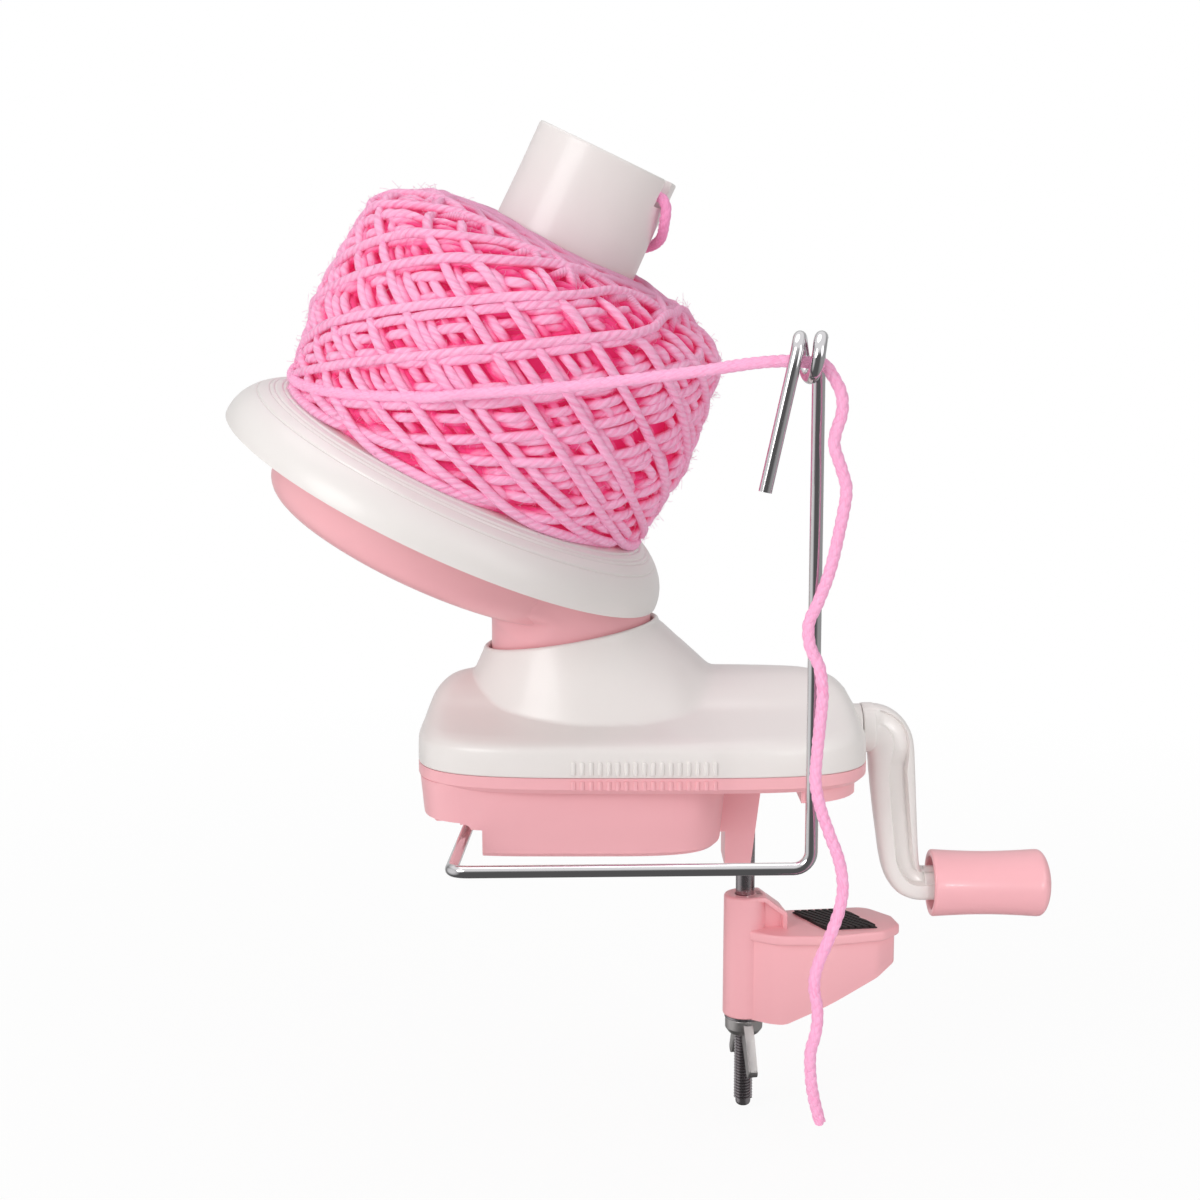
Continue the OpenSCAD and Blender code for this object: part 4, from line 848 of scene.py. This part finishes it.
class WINDER_OT_ball(bpy.types.Operator):
    """Ball of yarn: crossing wraps over a plain core, its last wrap, and the end tucked in the slot"""

    bl_idname = "winder.ball"
    bl_label = "Yarn ball"

    def execute(self, context):
        radius = sizes().yarn_diameter / 2
        frame_matrix = spool_matrix()
        leave = (frame_matrix.inverted() @ (Vector(FEED_ROUTE[0]) * MM)) / MM
        last_angle = math.atan2(leave.y, leave.x)
        swing = 28.5
        lead = math.acos((-leave.z - SWING_MIDDLE) / swing)
        wraps = wound_wraps(sizes().wraps, radius / MM, last_angle - lead)
        wraps = [moved(w, frame_matrix) for w in wraps]
        material = plied_wool("Wool, plied, wound", 0.3, 0.2, 0.45)
        half = len(wraps) // 2
        runs = [moved(w, frame_matrix) for w in top_runs(TOP_RUNS, radius / MM)]
        for name, part in (
            ("yarn_ball_inner", wraps[:half]), ("yarn_ball_outer", wraps[half:]), ("yarn_ball_top", runs),
        ):
            ball = strand_object(name, part, WOUND_SHARE * radius, cyclic=part is not runs, resolution=1)
            mark_depth(ball.data, frame_matrix)
            place(ball, "spool", material, ("yarn_winding",))

        hairs = loose_hairs(wraps[-48:], radius, HAIRS)
        hair_wool = plied_wool("Wool, loose hairs", 4 * MM, 0.2, 0.0)
        for name, part in (("yarn_fuzz_low", hairs[::2]), ("yarn_fuzz_high", hairs[1::2])):
            fuzz = strand_object(name, part, HAIR_RADIUS * MM, resolution=0)
            place(fuzz, "spool", hair_wool, ("yarn_winding",))

        # The last wrap comes round the ball to where the free yarn leaves it
        angle = last_angle + np.radians(np.arange(-215, 3, 1.5))
        depth = SWING_MIDDLE + swing * np.cos(angle - last_angle + lead)
        sunk = np.interp(angle - angle[0], [0, 0.4, 3.0], [9, 0.8 * radius / MM, 0.35 * radius / MM])
        path = moved(ball_point(angle, depth, sunk), frame_matrix)
        path = smooth_path(path / MM, STRAND_STEP) * MM
        last, _ = yarn_strand("yarn_last_wrap", path, "Wool, plied, last wrap", LOOSE_LIFT)
        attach(last, "spool")
        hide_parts("yarn_winding")

        tuck_turn = frame_matrix @ Matrix.Rotation(SLOT_ANGLE, 4, "Z")
        route = [(r * math.cos(a), r * math.sin(a), z) for r, z, a in TUCK_ROUTE]
        path = moved(smooth_path(route, STRAND_STEP), tuck_turn)
        tuck, _ = yarn_strand("yarn_end", path, "Wool, plied, end", 0.0)
        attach(tuck, "spool")
        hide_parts("yarn_tuck")

        shell = [(r - 4.5, -d - 2) for d, r in BALL_SURFACE[1:-1]]
        core = spun(shell + [(20.7, -63.3), (19.6, -3)], steps=72)
        core.transform(frame_matrix)
        # Painted shade and glow: the core under the wraps is drawn in a deeper pink, with an emission
        # standing in for light scattered into the ball
        inside = plain_grain("Wool, wound under, painted shade and glow", "#F25C9E", "#E4478B", 0.95, 1.6 * MM, 0.6 * MM)
        painted_glow = inside.node_tree.nodes["Principled BSDF"].inputs
        painted_glow["Emission Color"].default_value = linear("#EE3C88")
        painted_glow["Emission Strength"].default_value = 0.2
        place(mesh_object("yarn_core_inside", core), "spool", inside, ("yarn_core",))
        return {"FINISHED"}


# Turret's neck, and its bowl with the rounding of its lower edge and its depth along the spool's axis
NECK_RADIUS = 20.6
BOWL_RADIUS, BOWL_ROUND, BOWL_DEPTH = 44.9, 6, 90.7
FILLET_MELT = 7.0


class WINDER_OT_fairing(bpy.types.Operator):
    """Soft fillet where the turret's neck runs into its bowl"""

    bl_idname = "winder.fairing"
    bl_label = "Turret fillet"

    def execute(self, context):
        back = np.array(spool_matrix().inverted())
        around = 2 * math.pi * np.arange(120) / 120
        reach = np.arange(27, 17, -0.05)
        rings = []
        for z in np.arange(47, 66.1, 0.5):
            flat = np.stack([np.outer(np.cos(around), reach), np.outer(np.sin(around), reach)], axis=-1)
            points = np.concatenate([flat, np.full(flat.shape[:2] + (1,), z)], axis=-1)
            local = points @ back[:3, :3].T + back[:3, 3] / MM
            # Distances to the neck and to the round-edged bowl, melted together
            neck = reach[None, :] - NECK_RADIUS
            side = np.hypot(local[..., 0], local[..., 1]) - BOWL_RADIUS + BOWL_ROUND
            out = np.stack([side, -local[..., 2] - BOWL_DEPTH + BOWL_ROUND], axis=-1)
            bowl = np.linalg.norm(np.maximum(out, 0), axis=-1) + np.minimum(out.max(axis=-1), 0) - BOWL_ROUND
            inside = melted(neck, bowl, FILLET_MELT) < 0
            found = np.where(inside.any(axis=1), reach[np.argmax(inside, axis=1)], NECK_RADIUS - 0.3)
            # The turning fillet stays clear of the collar's rim
            found = np.minimum(found, 20.9 + 2 * max(0, z - 55.9))
            rings.append(np.c_[found * np.cos(around), found * np.sin(around), np.full(len(around), z)])
        fairing = lofted(rings, close_ends=True)
        place(mesh_object("turret_fillet", fairing, sharp=60), "turret", "pink")
        return {"FINISHED"}


# Fine turned grooves on the flange, in steps of 1.5 degrees from its flat middle
FLANGE_GROOVES = (15, 20, 23, 31)
GROOVE_DEPTH = 0.3
# Flange as the radius of its flat middle, and the reach, top and drop of its round edge
FLANGE_FLAT, FLANGE_REACH, FLANGE_TOP, FLANGE_DROP = 44, 17, 63.4, 13.4
FLANGE_UNDER = 65.6
SLOT_WIDTH = 4.2


class WINDER_OT_spool(bpy.types.Operator):
    """White spool: open tube with a yarn slot, and a domed flange with fine turned grooves"""

    bl_idname = "winder.spool"
    bl_label = "Spool"

    def execute(self, context):
        outer = []
        for step in range(61):
            a = math.radians(1.5 * step)
            low = GROOVE_DEPTH if step in FLANGE_GROOVES else 0
            r = FLANGE_FLAT + FLANGE_REACH * math.sin(a)
            depth = FLANGE_TOP + FLANGE_DROP * (1 - math.cos(a))
            outer.append((r - low * math.sin(a) * 0.8, -depth - low * math.cos(a)))
        inner = []
        for step in range(90, -1, -6):
            a = math.radians(step)
            inner.append((FLANGE_FLAT + 15.2 * math.sin(a), -FLANGE_UNDER - 11.2 * (1 - math.cos(a))))
        rim = rounded([(16.8, 10, 0), (16.8, 22.7, 0.7), (18.8, 22.7, 0.7), (18.85, 10, 0)])
        foot = [(20.55, -61.4), (20.7, -62.9), (21.1, -63.5)]
        hub = [(10, -FLANGE_UNDER), (10, -82.8), (8, -82.8), (8, -88.4), (3.1, -88.4), (3.1, -57.4)]
        hub.append((16.8, -57.4))
        bm = spun([tuple(p) for p in rim] + foot + outer + inner + hub, steps=128)
        cutter = bmesh.new()
        bmesh.ops.create_cube(cutter, size=1)
        bmesh.ops.scale(cutter, verts=cutter.verts, vec=Vector((8, SLOT_WIDTH, 8)) * MM)
        bmesh.ops.translate(cutter, verts=cutter.verts, vec=Vector((18, 0, 19.7)) * MM)
        bmesh.ops.rotate(cutter, verts=cutter.verts, matrix=Matrix.Rotation(SLOT_ANGLE, 3, "Z"))
        bm = combined(bm, ("DIFFERENCE", cutter))
        bm.transform(spool_matrix())
        place(mesh_object("spool_body", bm, sharp=30), "spool", "white", ("spool",))
        return {"FINISHED"}


# Roof of the cover as (height above the parting, inset along the length, inset along the depth, squareness)
ROOF = [
    (0, 0, 0, 4), (5.4, 0.1, 0, 4), (7.2, 0.6, 0.6, 4), (8.4, 1.1, 2, 4), (9.4, 1.5, 4, 4),
    (13.5, 3, 15, 3.6), (16, 4.6, 19, 3.3), (18.6, 7.5, 24, 3), (20.2, 11.5, 29, 2.8), (21, 16.5, 34, 2.6),
]
# Collar: radius and middle height of its rim and the rim's slope; its foot as (middle, half length, half
# depth, height); its lip as (radius, drop below the rim)
COLLAR_RADIUS = 22.8
COLLAR_MIDDLE = 51.8
COLLAR_SLOPE = 7.6 / 45.6
COLLAR_FOOT = (10.7, 42.4, 31.0, 27.0)
COLLAR_LIP = [
    (22.75, 0.8), (22.5, 0.3), (22.1, 0.02), (21.7, 0.1), (21.4, 0.5), (21.3, 1.4), (21.3, 6),
]
COLLAR_MELT = 1.3
COVER_POINTS = 144
RIBS, RIB_SPACING, RIB_RADIUS = 17, 2.15, 0.62


def ease_table(table, count):
    """Rows between the given ones, on a smooth curve through them."""
    knots = np.array(table, float)
    u = np.linspace(0, len(knots) - 1, count)
    i = np.clip(u.astype(int), 0, len(knots) - 2)
    t = (u - i)[:, None]
    slope = np.gradient(knots, axis=0)
    ends = knots[i] * (1 + 2 * t) * (1 - t) ** 2 + knots[i + 1] * t**2 * (3 - 2 * t)
    return ends + slope[i] * t * (1 - t) ** 2 - slope[i + 1] * t**2 * (1 - t)


def superellipse(hx, hy, n, count):
    angle = 2 * math.pi * np.arange(count) / count
    c, s = np.cos(angle), np.sin(angle)
    return np.c_[hx * np.sign(c) * np.abs(c) ** (2 / n), hy * np.sign(s) * np.abs(s) ** (2 / n)]


def housing_ring(height, along, deep, n):
    """Outline of the housing, drawn in along its length and depth, at a height above the parting."""
    outline = superellipse(HALF_LENGTH - along, HALF_DEPTH - deep, n, COVER_POINTS)
    return np.c_[outline + (HOUSING_MIDDLE, 0), np.full(COVER_POINTS, PARTING + height)]


def roof_height(points):
    """Height of the roof over points inside its outline."""
    rows = ease_table(ROOF, 240)
    x, y = np.abs(points[:, 0] - HOUSING_MIDDLE), np.abs(points[:, 1])
    hx, hy, n = HALF_LENGTH - rows[:, 1], HALF_DEPTH - rows[:, 2], rows[:, 3]
    filled = (x[:, None] / hx) ** n + (y[:, None] / hy) ** n
    first = np.argmax(filled > 1, axis=1)
    first = np.where(filled[:, -1] <= 1, len(rows) - 1, np.maximum(first, 1))
    low, high = filled[np.arange(len(x)), first - 1], filled[np.arange(len(x)), first]
    share = np.clip((1 - low) / np.maximum(high - low, 1e-6), 0, 1)
    return PARTING + rows[first - 1, 0] + share * (rows[first, 0] - rows[first - 1, 0])


def collar_height(points):
    """Height of the leaning collar's cone over points outside its rim."""
    middle, hx, hy, foot = COLLAR_FOOT
    t = np.linspace(-0.5, 1, 300)
    cx, a, b = middle * (1 - t), hx * (1 - t) + COLLAR_RADIUS * t, hy * (1 - t) + COLLAR_RADIUS * t
    filled = ((points[:, :1] - cx) / a) ** 2 + (points[:, 1:2] / b) ** 2
    first = np.argmax(filled > 1, axis=1)
    at = np.where(filled[:, -1] <= 1, 1.0, t[first])
    cosine = np.clip((points[:, 0] - middle * (1 - at)) / (hx * (1 - at) + COLLAR_RADIUS * at), -1, 1)
    rim = COLLAR_MIDDLE + COLLAR_SLOPE * COLLAR_RADIUS * cosine - 1.2
    return foot + at * (rim - foot)


def grip_ribs(low, high):
    """Half-round ribs in a row on the front, with the matrices that set them there."""
    ribs = []
    for k in range(RIBS):
        x = HOUSING_MIDDLE + (k - RIBS // 2) * RIB_SPACING
        front = HALF_DEPTH * (1 - (abs(x - HOUSING_MIDDLE) / HALF_LENGTH) ** 4) ** 0.25
        outline = [(0, low, 0), (RIB_RADIUS, low, 0.4), (RIB_RADIUS, high, 0.5), (0, high, 0)]
        rib = spun(rounded(outline, steps=3), steps=12)
        ribs.append((rib, Matrix.Translation(Vector((x, 0.05 - front, 0)) * MM)))
    return ribs


class WINDER_OT_cover(bpy.types.Operator):
    """White cover: rounded roof that flows into the leaning collar, with grip ribs on its front"""

    bl_idname = "winder.cover"
    bl_label = "Cover"

    def execute(self, context):
        rings = []
        for inset, height in ((0.7, 0.0), (0.3, 0.04), (0.08, 0.2), (0, 0.5)):
            rings.append(housing_ring(height, inset, inset, 4))
        rings += [housing_ring(*row) for row in ease_table(ROOF[:5], 17)[3:]]
        shoulder = rings[-1][:, :2]
        around = 2 * math.pi * np.arange(COVER_POINTS) / COVER_POINTS
        rim = COLLAR_RADIUS * np.c_[np.cos(around), np.sin(around)]
        for share in np.linspace(0, 1, 40)[1:]:
            flat = shoulder * (1 - share) + rim * share
            rings.append(np.c_[flat, -melted(-collar_height(flat), -roof_height(flat), COLLAR_MELT)])
        slant = COLLAR_MIDDLE + COLLAR_SLOPE * rim[:, 0]
        rings += [np.c_[rim * radius / COLLAR_RADIUS, slant - drop] for radius, drop in COLLAR_LIP]
        # Inner wall, from the collar back to the parting
        for ring in rings[-9:3:-4]:
            inner = ring - (0, 0, 1.8)
            inner[:, :2] = (ring[:, :2] - (HOUSING_MIDDLE, 0)) * (0.965, 0.95) + (HOUSING_MIDDLE, 0)
            rings.append(inner)
        rings += [housing_ring(0, 2, 2, 4), rings[0]]
        bm = lofted(rings)
        bmesh.ops.remove_doubles(bm, verts=bm.verts, dist=1e-6)
        # Short boss round the shaft's bush, up to the crank
        boss = spun(rounded([(4.3, 68, 0), (6.2, 68, 0), (6.2, 75.75, 0.3), (4.3, 75.75, 0)]), steps=48)
        end = Matrix.Translation((0, 0, CRANK_Z * MM)) @ Matrix.Rotation(math.pi / 2, 4, "Y")
        whole = join((bm, Matrix()), (boss, end), *grip_ribs(21.7, 25.2))
        place(mesh_object("cover", whole, sharp=50), "base", "white", ("upper_cover",))
        return {"FINISHED"}


# Cross section of the crank's arm, the seat of its screw, and the grip
ARM_HALF_DEPTH, ARM_SQUARENESS = 5, 3.4
SEAT_X = 86.2
GRIP_RADIUS = 8.8


class WINDER_OT_crank(bpy.types.Operator):
    """White crank arm with its groove, and the waisted pink grip"""

    bl_idname = "winder.crank"
    bl_label = "Crank"

    def execute(self, context):
        # Middle line of the arm as (distance from its inner face, height, width)
        line = [
            (0, 26.0, 12.4), (2.5, 26.0, 12.4), (4.6, 25.6, 12.3), (6.6, 24.0, 12.2), (7.7, 21.0, 12.1),
            (8.3, 14, 11.9), (9.0, 6, 11.4), (9.8, -2, 10.7), (10.4, -7.5, 10.2), (11.2, -11.6, 9.6),
            (12.7, -14.4, 8.9), (15, -15.8, 8.3), (17, -16, 8.2), (20.4, -16, 8.2),
        ]
        table = smooth_path(line, 0.6)
        along = np.gradient(table[:, :2], axis=0)
        along /= np.linalg.norm(along, axis=1)[:, None]
        across = np.c_[along[:, 1], -along[:, 0]]
        far = distances(table[:, :2])
        # Groove between a slim outer rim and a wider inner one, open towards the grip
        shares = far / far[-1]
        knots = [0, 0.12, 0.3, 0.75, 0.9, 1]
        middle = np.interp(shares, knots, [-3.9, -3.2, -1.0, -1.0, -2.1, -2.3])
        reach = np.interp(shares, knots, [1.4, 1.8, 2.2, 2.1, 1.5, 1.3])
        deep = np.interp(far, [3.4, 3.9, 11, 15], [0, 1.4, 1.4, 2.6])
        rings = []
        for (x, z, width), side, mid, half, groove in zip(table, across, middle, reach, deep):
            low, high = (mid - half) * 2 / width, (mid + half) * 2 / width
            lip = 0.5 / width
            turn = np.linspace(0, 1, 9)
            u = np.r_[
                -1 + (low - lip + 1) * turn**1.8, low + lip, (low + high) / 2, high - lip,
                1 - (1 - high - lip) * turn[::-1] ** 1.8,
            ]
            depth = ARM_HALF_DEPTH * (1 - np.abs(u) ** ARM_SQUARENESS) ** (1 / ARM_SQUARENESS)
            depth[9:12] -= groove
            ring = []
            for share, out in list(zip(u, -depth)) + list(zip(u, depth))[-2:0:-1]:
                ring.append((ARM_X + x + side[0] * share * width / 2, out, z + side[1] * share * width / 2))
            rings.append(ring)
        arm = lofted(rings, close_ends=True)
        turn = Matrix.Rotation(math.pi / 2, 4, "Y")
        hub = spun(rounded([(0, 75.9, 0), (6.5, 75.9, 0.4), (6.5, 79.3, 0.8), (0, 79.3, 0)]), steps=64)
        spindle = [(0, 93, 0), (4.4, 93, 0), (4.4, 96.5, 0.4), (3.5, 96.5, 0), (3.5, 119.9, 0), (0, 119.9, 0)]
        hub_place = Matrix.Translation((0, 0, CRANK_Z * MM)) @ turn
        pin_place = Matrix.Translation((0, 0, GRIP_Z * MM)) @ turn
        seat = spun([(0, SEAT_X), (2.1, SEAT_X), (2.1, 95), (0, 95)], steps=48)
        seat.transform(hub_place)
        arm = combined(arm, ("DIFFERENCE", seat))
        whole = join((arm, Matrix()), (hub, hub_place), (spun(rounded(spindle)), pin_place))
        place(mesh_object("arm", whole, sharp=40), "crank", "white", ("crank_arm",))
        shank = [(0, 77, 0), (1.5, 77, 0), (1.5, SEAT_X, 0)]
        head = [(2, SEAT_X, 0), (2, 87, 0.5), (1.1, 87.3, 0.2), (1, 86.8, 0), (0, 86.8, 0)]
        screw = spun(rounded(shank + head), steps=40)
        screw.transform(hub_place)
        place(mesh_object("arm_screw", screw, sharp=40), "crank", "steel", ("crank_screw",))

        shares = [k / 12 for k in range(13)]
        waist = [(GRIP_RADIUS - 0.5 * math.sin(math.pi * t), 95.7 + 26.6 * t, 0) for t in shares]
        outline = [(3.6, 98.2, 0), (6.7, 98.2, 0.5), (7.0, 94.9, 0.6), (8.75, 94.9, 0.6)] + waist
        angles = np.radians(range(6, 90, 6))
        dome = [(GRIP_RADIUS * math.cos(a), 123.2 + 3.4 * math.sin(a), 0) for a in angles]
        outline += [(8.82, 123.0, 0)] + dome + [(0.02, 126.6, 0), (0.02, 122.4, 0), (3.6, 122.4, 0)]
        grip = spun(rounded(outline), steps=80)
        grip.transform(pin_place)
        place(mesh_object("grip", grip, sharp=40), "grip", "pink", ("crank_grip", "grip_cap"))
        return {"FINISHED"}


def jaw_plan(i):
    """Outline of the jaw from above, drawn in by i millimetres."""
    return rounded([
        (0, 5.6 - i, 0), (0, -5.6 + i, 0), (6, -11 + i, 9), (20, -13 + i, 30), (35 - i, -11 + i, 5),
        (41 - i, -5.5, 3), (41 - i, 2, 3), (36 - i, 11.25 - i, 5), (9, 11.25 - i, 6),
    ], steps=8)


ROD_RADIUS = 2.5
THREAD_TURNS = 27
# Degrees round the rod at which the nut's wings stand
WING_TURNS = (100, 280)


class WINDER_OT_clamp(bpy.types.Operator):
    """Clamp: threaded rod, pink jaw with its boss and fence, and the wing nut"""

    bl_idname = "winder.clamp"
    bl_label = "Clamp"

    def execute(self, context):
        at_rod = Matrix.Translation((ROD_X * MM, 0, 0))
        turned = at_rod @ Matrix.Rotation(JAW_YAW, 4, "Z")

        side = rounded([(-6, -27, 0), (-6, -52, 0), (9, -52, 6), (41, -37, 3), (41, -27, 0)])
        skirt = combined(
            slab(jaw_plan(1.2), -52, -28.4, "Z"),
            ("INTERSECT", slab(side, -20, 20)),
            ("DIFFERENCE", slab(jaw_plan(3.0), -60, -29.7, "Z")),
        )
        plate = soften(slab(jaw_plan(0), -30.2, -27.5, "Z"), 0.6, segments=3)
        fence = [(0, -18.9, 0), (4.6, -18.9, 0.8), (10.5, -23.3, 1.0), (10.5, -28.6, 0), (0, -28.6, 0)]
        fence = slab(rounded(fence), -5, 5)
        hollow = [(-1, -20.2), (4.2, -20.2), (9.2, -24), (9.2, -30), (-1, -30)]
        fence = combined(fence, *[("DIFFERENCE", slab(hollow, low, low + 4)) for low in (-7, 3)])
        fence = soften(fence, 0.35, segments=2)
        boss = [(2.6, -52, 0.3), (5.7, -52, 0.8), (5.6, -18.9, 0.8), (2.6, -18.9, 0.3)]
        boss = spun(rounded(boss), steps=64)
        jaw = join((soften(skirt, 0.5, 50, 2), turned), (plate, turned), (fence, turned), (boss, turned))
        place(mesh_object("jaw", jaw, sharp=40), "clamp_jaw", "pink", ("clamp_jaw",))

        shank = [
            (0, -77.5, 0), (2.0, -77.5, 1.2), (2.05, -75, 0), (2.05, -54, 0), (ROD_RADIUS, -53, 0),
            (ROD_RADIUS, 22.2, 0.4), (0, 22.2, 0),
        ]
        rod = spun(rounded(shank), steps=48)
        pitch, turns, steps = sizes().thread_pitch / MM, THREAD_TURNS, 24
        thread = bmesh.new()
        ridge = [(1.9, 0), (ROD_RADIUS, 0.4), (ROD_RADIUS, 0.55), (1.9, 0.95)]
        ridge = [thread.verts.new(Vector((r, 0, -76 + z * pitch)) * MM) for r, z in ridge]
        edges = [thread.edges.new((ridge[i - 1], ridge[i])) for i in range(4)]
        bmesh.ops.edgeloop_fill(thread, edges=edges)
        end = bmesh.ops.spin(
            thread, geom=ridge + edges, cent=(0, 0, 0), axis=(0, 0, 1), dvec=(0, 0, pitch * MM / steps),
            angle=2 * math.pi * turns, steps=steps * turns, use_merge=False,
        )
        last = [e for e in end["geom_last"] if isinstance(e, bmesh.types.BMEdge)]
        bmesh.ops.edgeloop_fill(thread, edges=last)
        bmesh.ops.recalc_face_normals(thread, faces=thread.faces)
        rod = join((rod, at_rod), (thread, at_rod))
        place(mesh_object("rod", rod, sharp=30), "base", "steel", ("clamp_rod",))

        collar = rounded([
            (2.6, -52.75, 0), (5.0, -52.75, 0.3), (5.0, -55.6, 0.5), (3.9, -57.1, 0.8), (2.6, -57.1, 0.2),
        ])
        blade = rounded([
            (2.7, -53.4, 0), (4.6, -53.4, 0.4), (7.2, -57, 3), (11.0, -65.6, 1.6), (8.6, -66.7, 1.4),
            (5.4, -61.6, 3), (3.0, -58.4, 0.6), (2.7, -57, 0),
        ])
        nut = [(spun(collar, steps=64), at_rod)]
        for turn in WING_TURNS:
            wing = soften(slab(blade, -1.25, 1.25), 0.6, 50, 3)
            nut.append((wing, at_rod @ Matrix.Rotation(math.radians(turn), 4, "Z")))
        place(mesh_object("wing_nut_cast", join(*nut), sharp=40), "wing_nut", "zinc", ("wing_nut",))
        return {"FINISHED"}


# Runs of the guide wire, and the coil of its eye
WIRE_LEFT, WIRE_RIGHT, WIRE_FRONT = -26, 54.6, 75.0
EYE_RADIUS, EYE_PITCH, EYE_HEIGHT = 4.25, 4.6, 122.4


class WINDER_OT_guide(bpy.types.Operator):
    """Chromed guide wire with its pigtail eye"""

    bl_idname = "winder.guide"
    bl_label = "Guide wire"

    def execute(self, context):
        def eye(a):
            return (
                WIRE_RIGHT - EYE_PITCH * max(0, a - 90) / 360,
                -WIRE_FRONT - EYE_RADIUS + EYE_RADIUS * math.cos(math.radians(a)),
                EYE_HEIGHT + EYE_RADIUS * math.sin(math.radians(a)),
            )

        foot = [(WIRE_LEFT, -4, 17), (WIRE_LEFT, -4, 2.6), (WIRE_LEFT, -33.5, 5)]
        corners = foot + [(WIRE_LEFT, -WIRE_FRONT, 8.4), (WIRE_RIGHT, -WIRE_FRONT, 9.2), eye(0)]
        path = [Vector(corners[0])]
        for i, radius in ((1, 4), (2, 30), (3, 4), (4, 4)):
            path += corner_bend(corners[i - 1], corners[i], corners[i + 1], radius, 8)
        path += [Vector(eye(a)) for a in range(0, 521, 10)]
        tail = Vector((42.6, -WIRE_FRONT - 2 * EYE_RADIUS, 94))
        path += [path[-1].lerp(tail, k / 6) for k in range(1, 7)]
        path = [[p * MM for p in path]]
        wire = strand_object("guide_bent_wire", path, sizes().wire_diameter / 2, resolution=6)
        place(wire, "guide", "chrome", ("guide_wire",))
        return {"FINISHED"}


class WINDER_OT_finishes(bpy.types.Operator):
    """Finishes for the pieces that show as they are"""

    bl_idname = "winder.finishes"
    bl_label = "Finishes"

    def execute(self, context):
        kinds = {
            "pink_plastic": "pink", "white_plastic": "white", "bright_steel": "steel",
            "gear_plastic": "nylon", "pad_rubber": "rubber", "bush_bronze": "bronze", "wool_yarn": "pink",
        }
        slots = {s["node"]: s["material_slot"] for s in frame["record"]["subparts"]}
        for name, obj in frame["nodes"].items():
            obj.data.materials.clear()
            obj.data.materials.append(finish_of(kinds[slots[name]]))
            obj.data.shade_smooth()
            weld = obj.modifiers.new("weld", "WELD")
            weld.merge_threshold = 0.002 * MM
            split = obj.modifiers.new("crisp", "EDGE_SPLIT")
            split.split_angle = math.radians(32)
        return {"FINISHED"}


class WINDER_PT_panel(bpy.types.Panel):
    """Lists the pieces and their settings"""

    bl_idname = "WINDER_PT_panel"
    bl_label = "Yarn Ball Winder"
    bl_space_type = "VIEW_3D"
    bl_region_type = "UI"
    bl_category = "Winder"

    def draw(self, context):
        for step in STEPS:
            self.layout.operator(step.bl_idname)
        for group in (context.scene.winder_sizes, context.scene.winder_colours):
            for key in group.bl_rna.properties.keys():
                if key not in {"rna_type", "name"}:
                    self.layout.prop(group, key)


STEPS = [
    WINDER_OT_stage, WINDER_OT_loose_yarn, WINDER_OT_ball, WINDER_OT_fairing, WINDER_OT_spool,
    WINDER_OT_cover, WINDER_OT_crank, WINDER_OT_clamp, WINDER_OT_guide, WINDER_OT_finishes,
]
CLASSES = [WinderSizes, WinderColours, *STEPS, WINDER_PT_panel]


def register():
    for kind in CLASSES:
        bpy.utils.register_class(kind)
    bpy.types.Scene.winder_sizes = bpy.props.PointerProperty(type=WinderSizes)
    bpy.types.Scene.winder_colours = bpy.props.PointerProperty(type=WinderColours)


def unregister():
    del bpy.types.Scene.winder_colours
    del bpy.types.Scene.winder_sizes
    for kind in reversed(CLASSES):
        bpy.utils.unregister_class(kind)


def main():
    register()
    for step in STEPS:
        group, name = step.bl_idname.split(".")
        getattr(getattr(bpy.ops, group), name)()


if __name__ == "__main__":
    main()
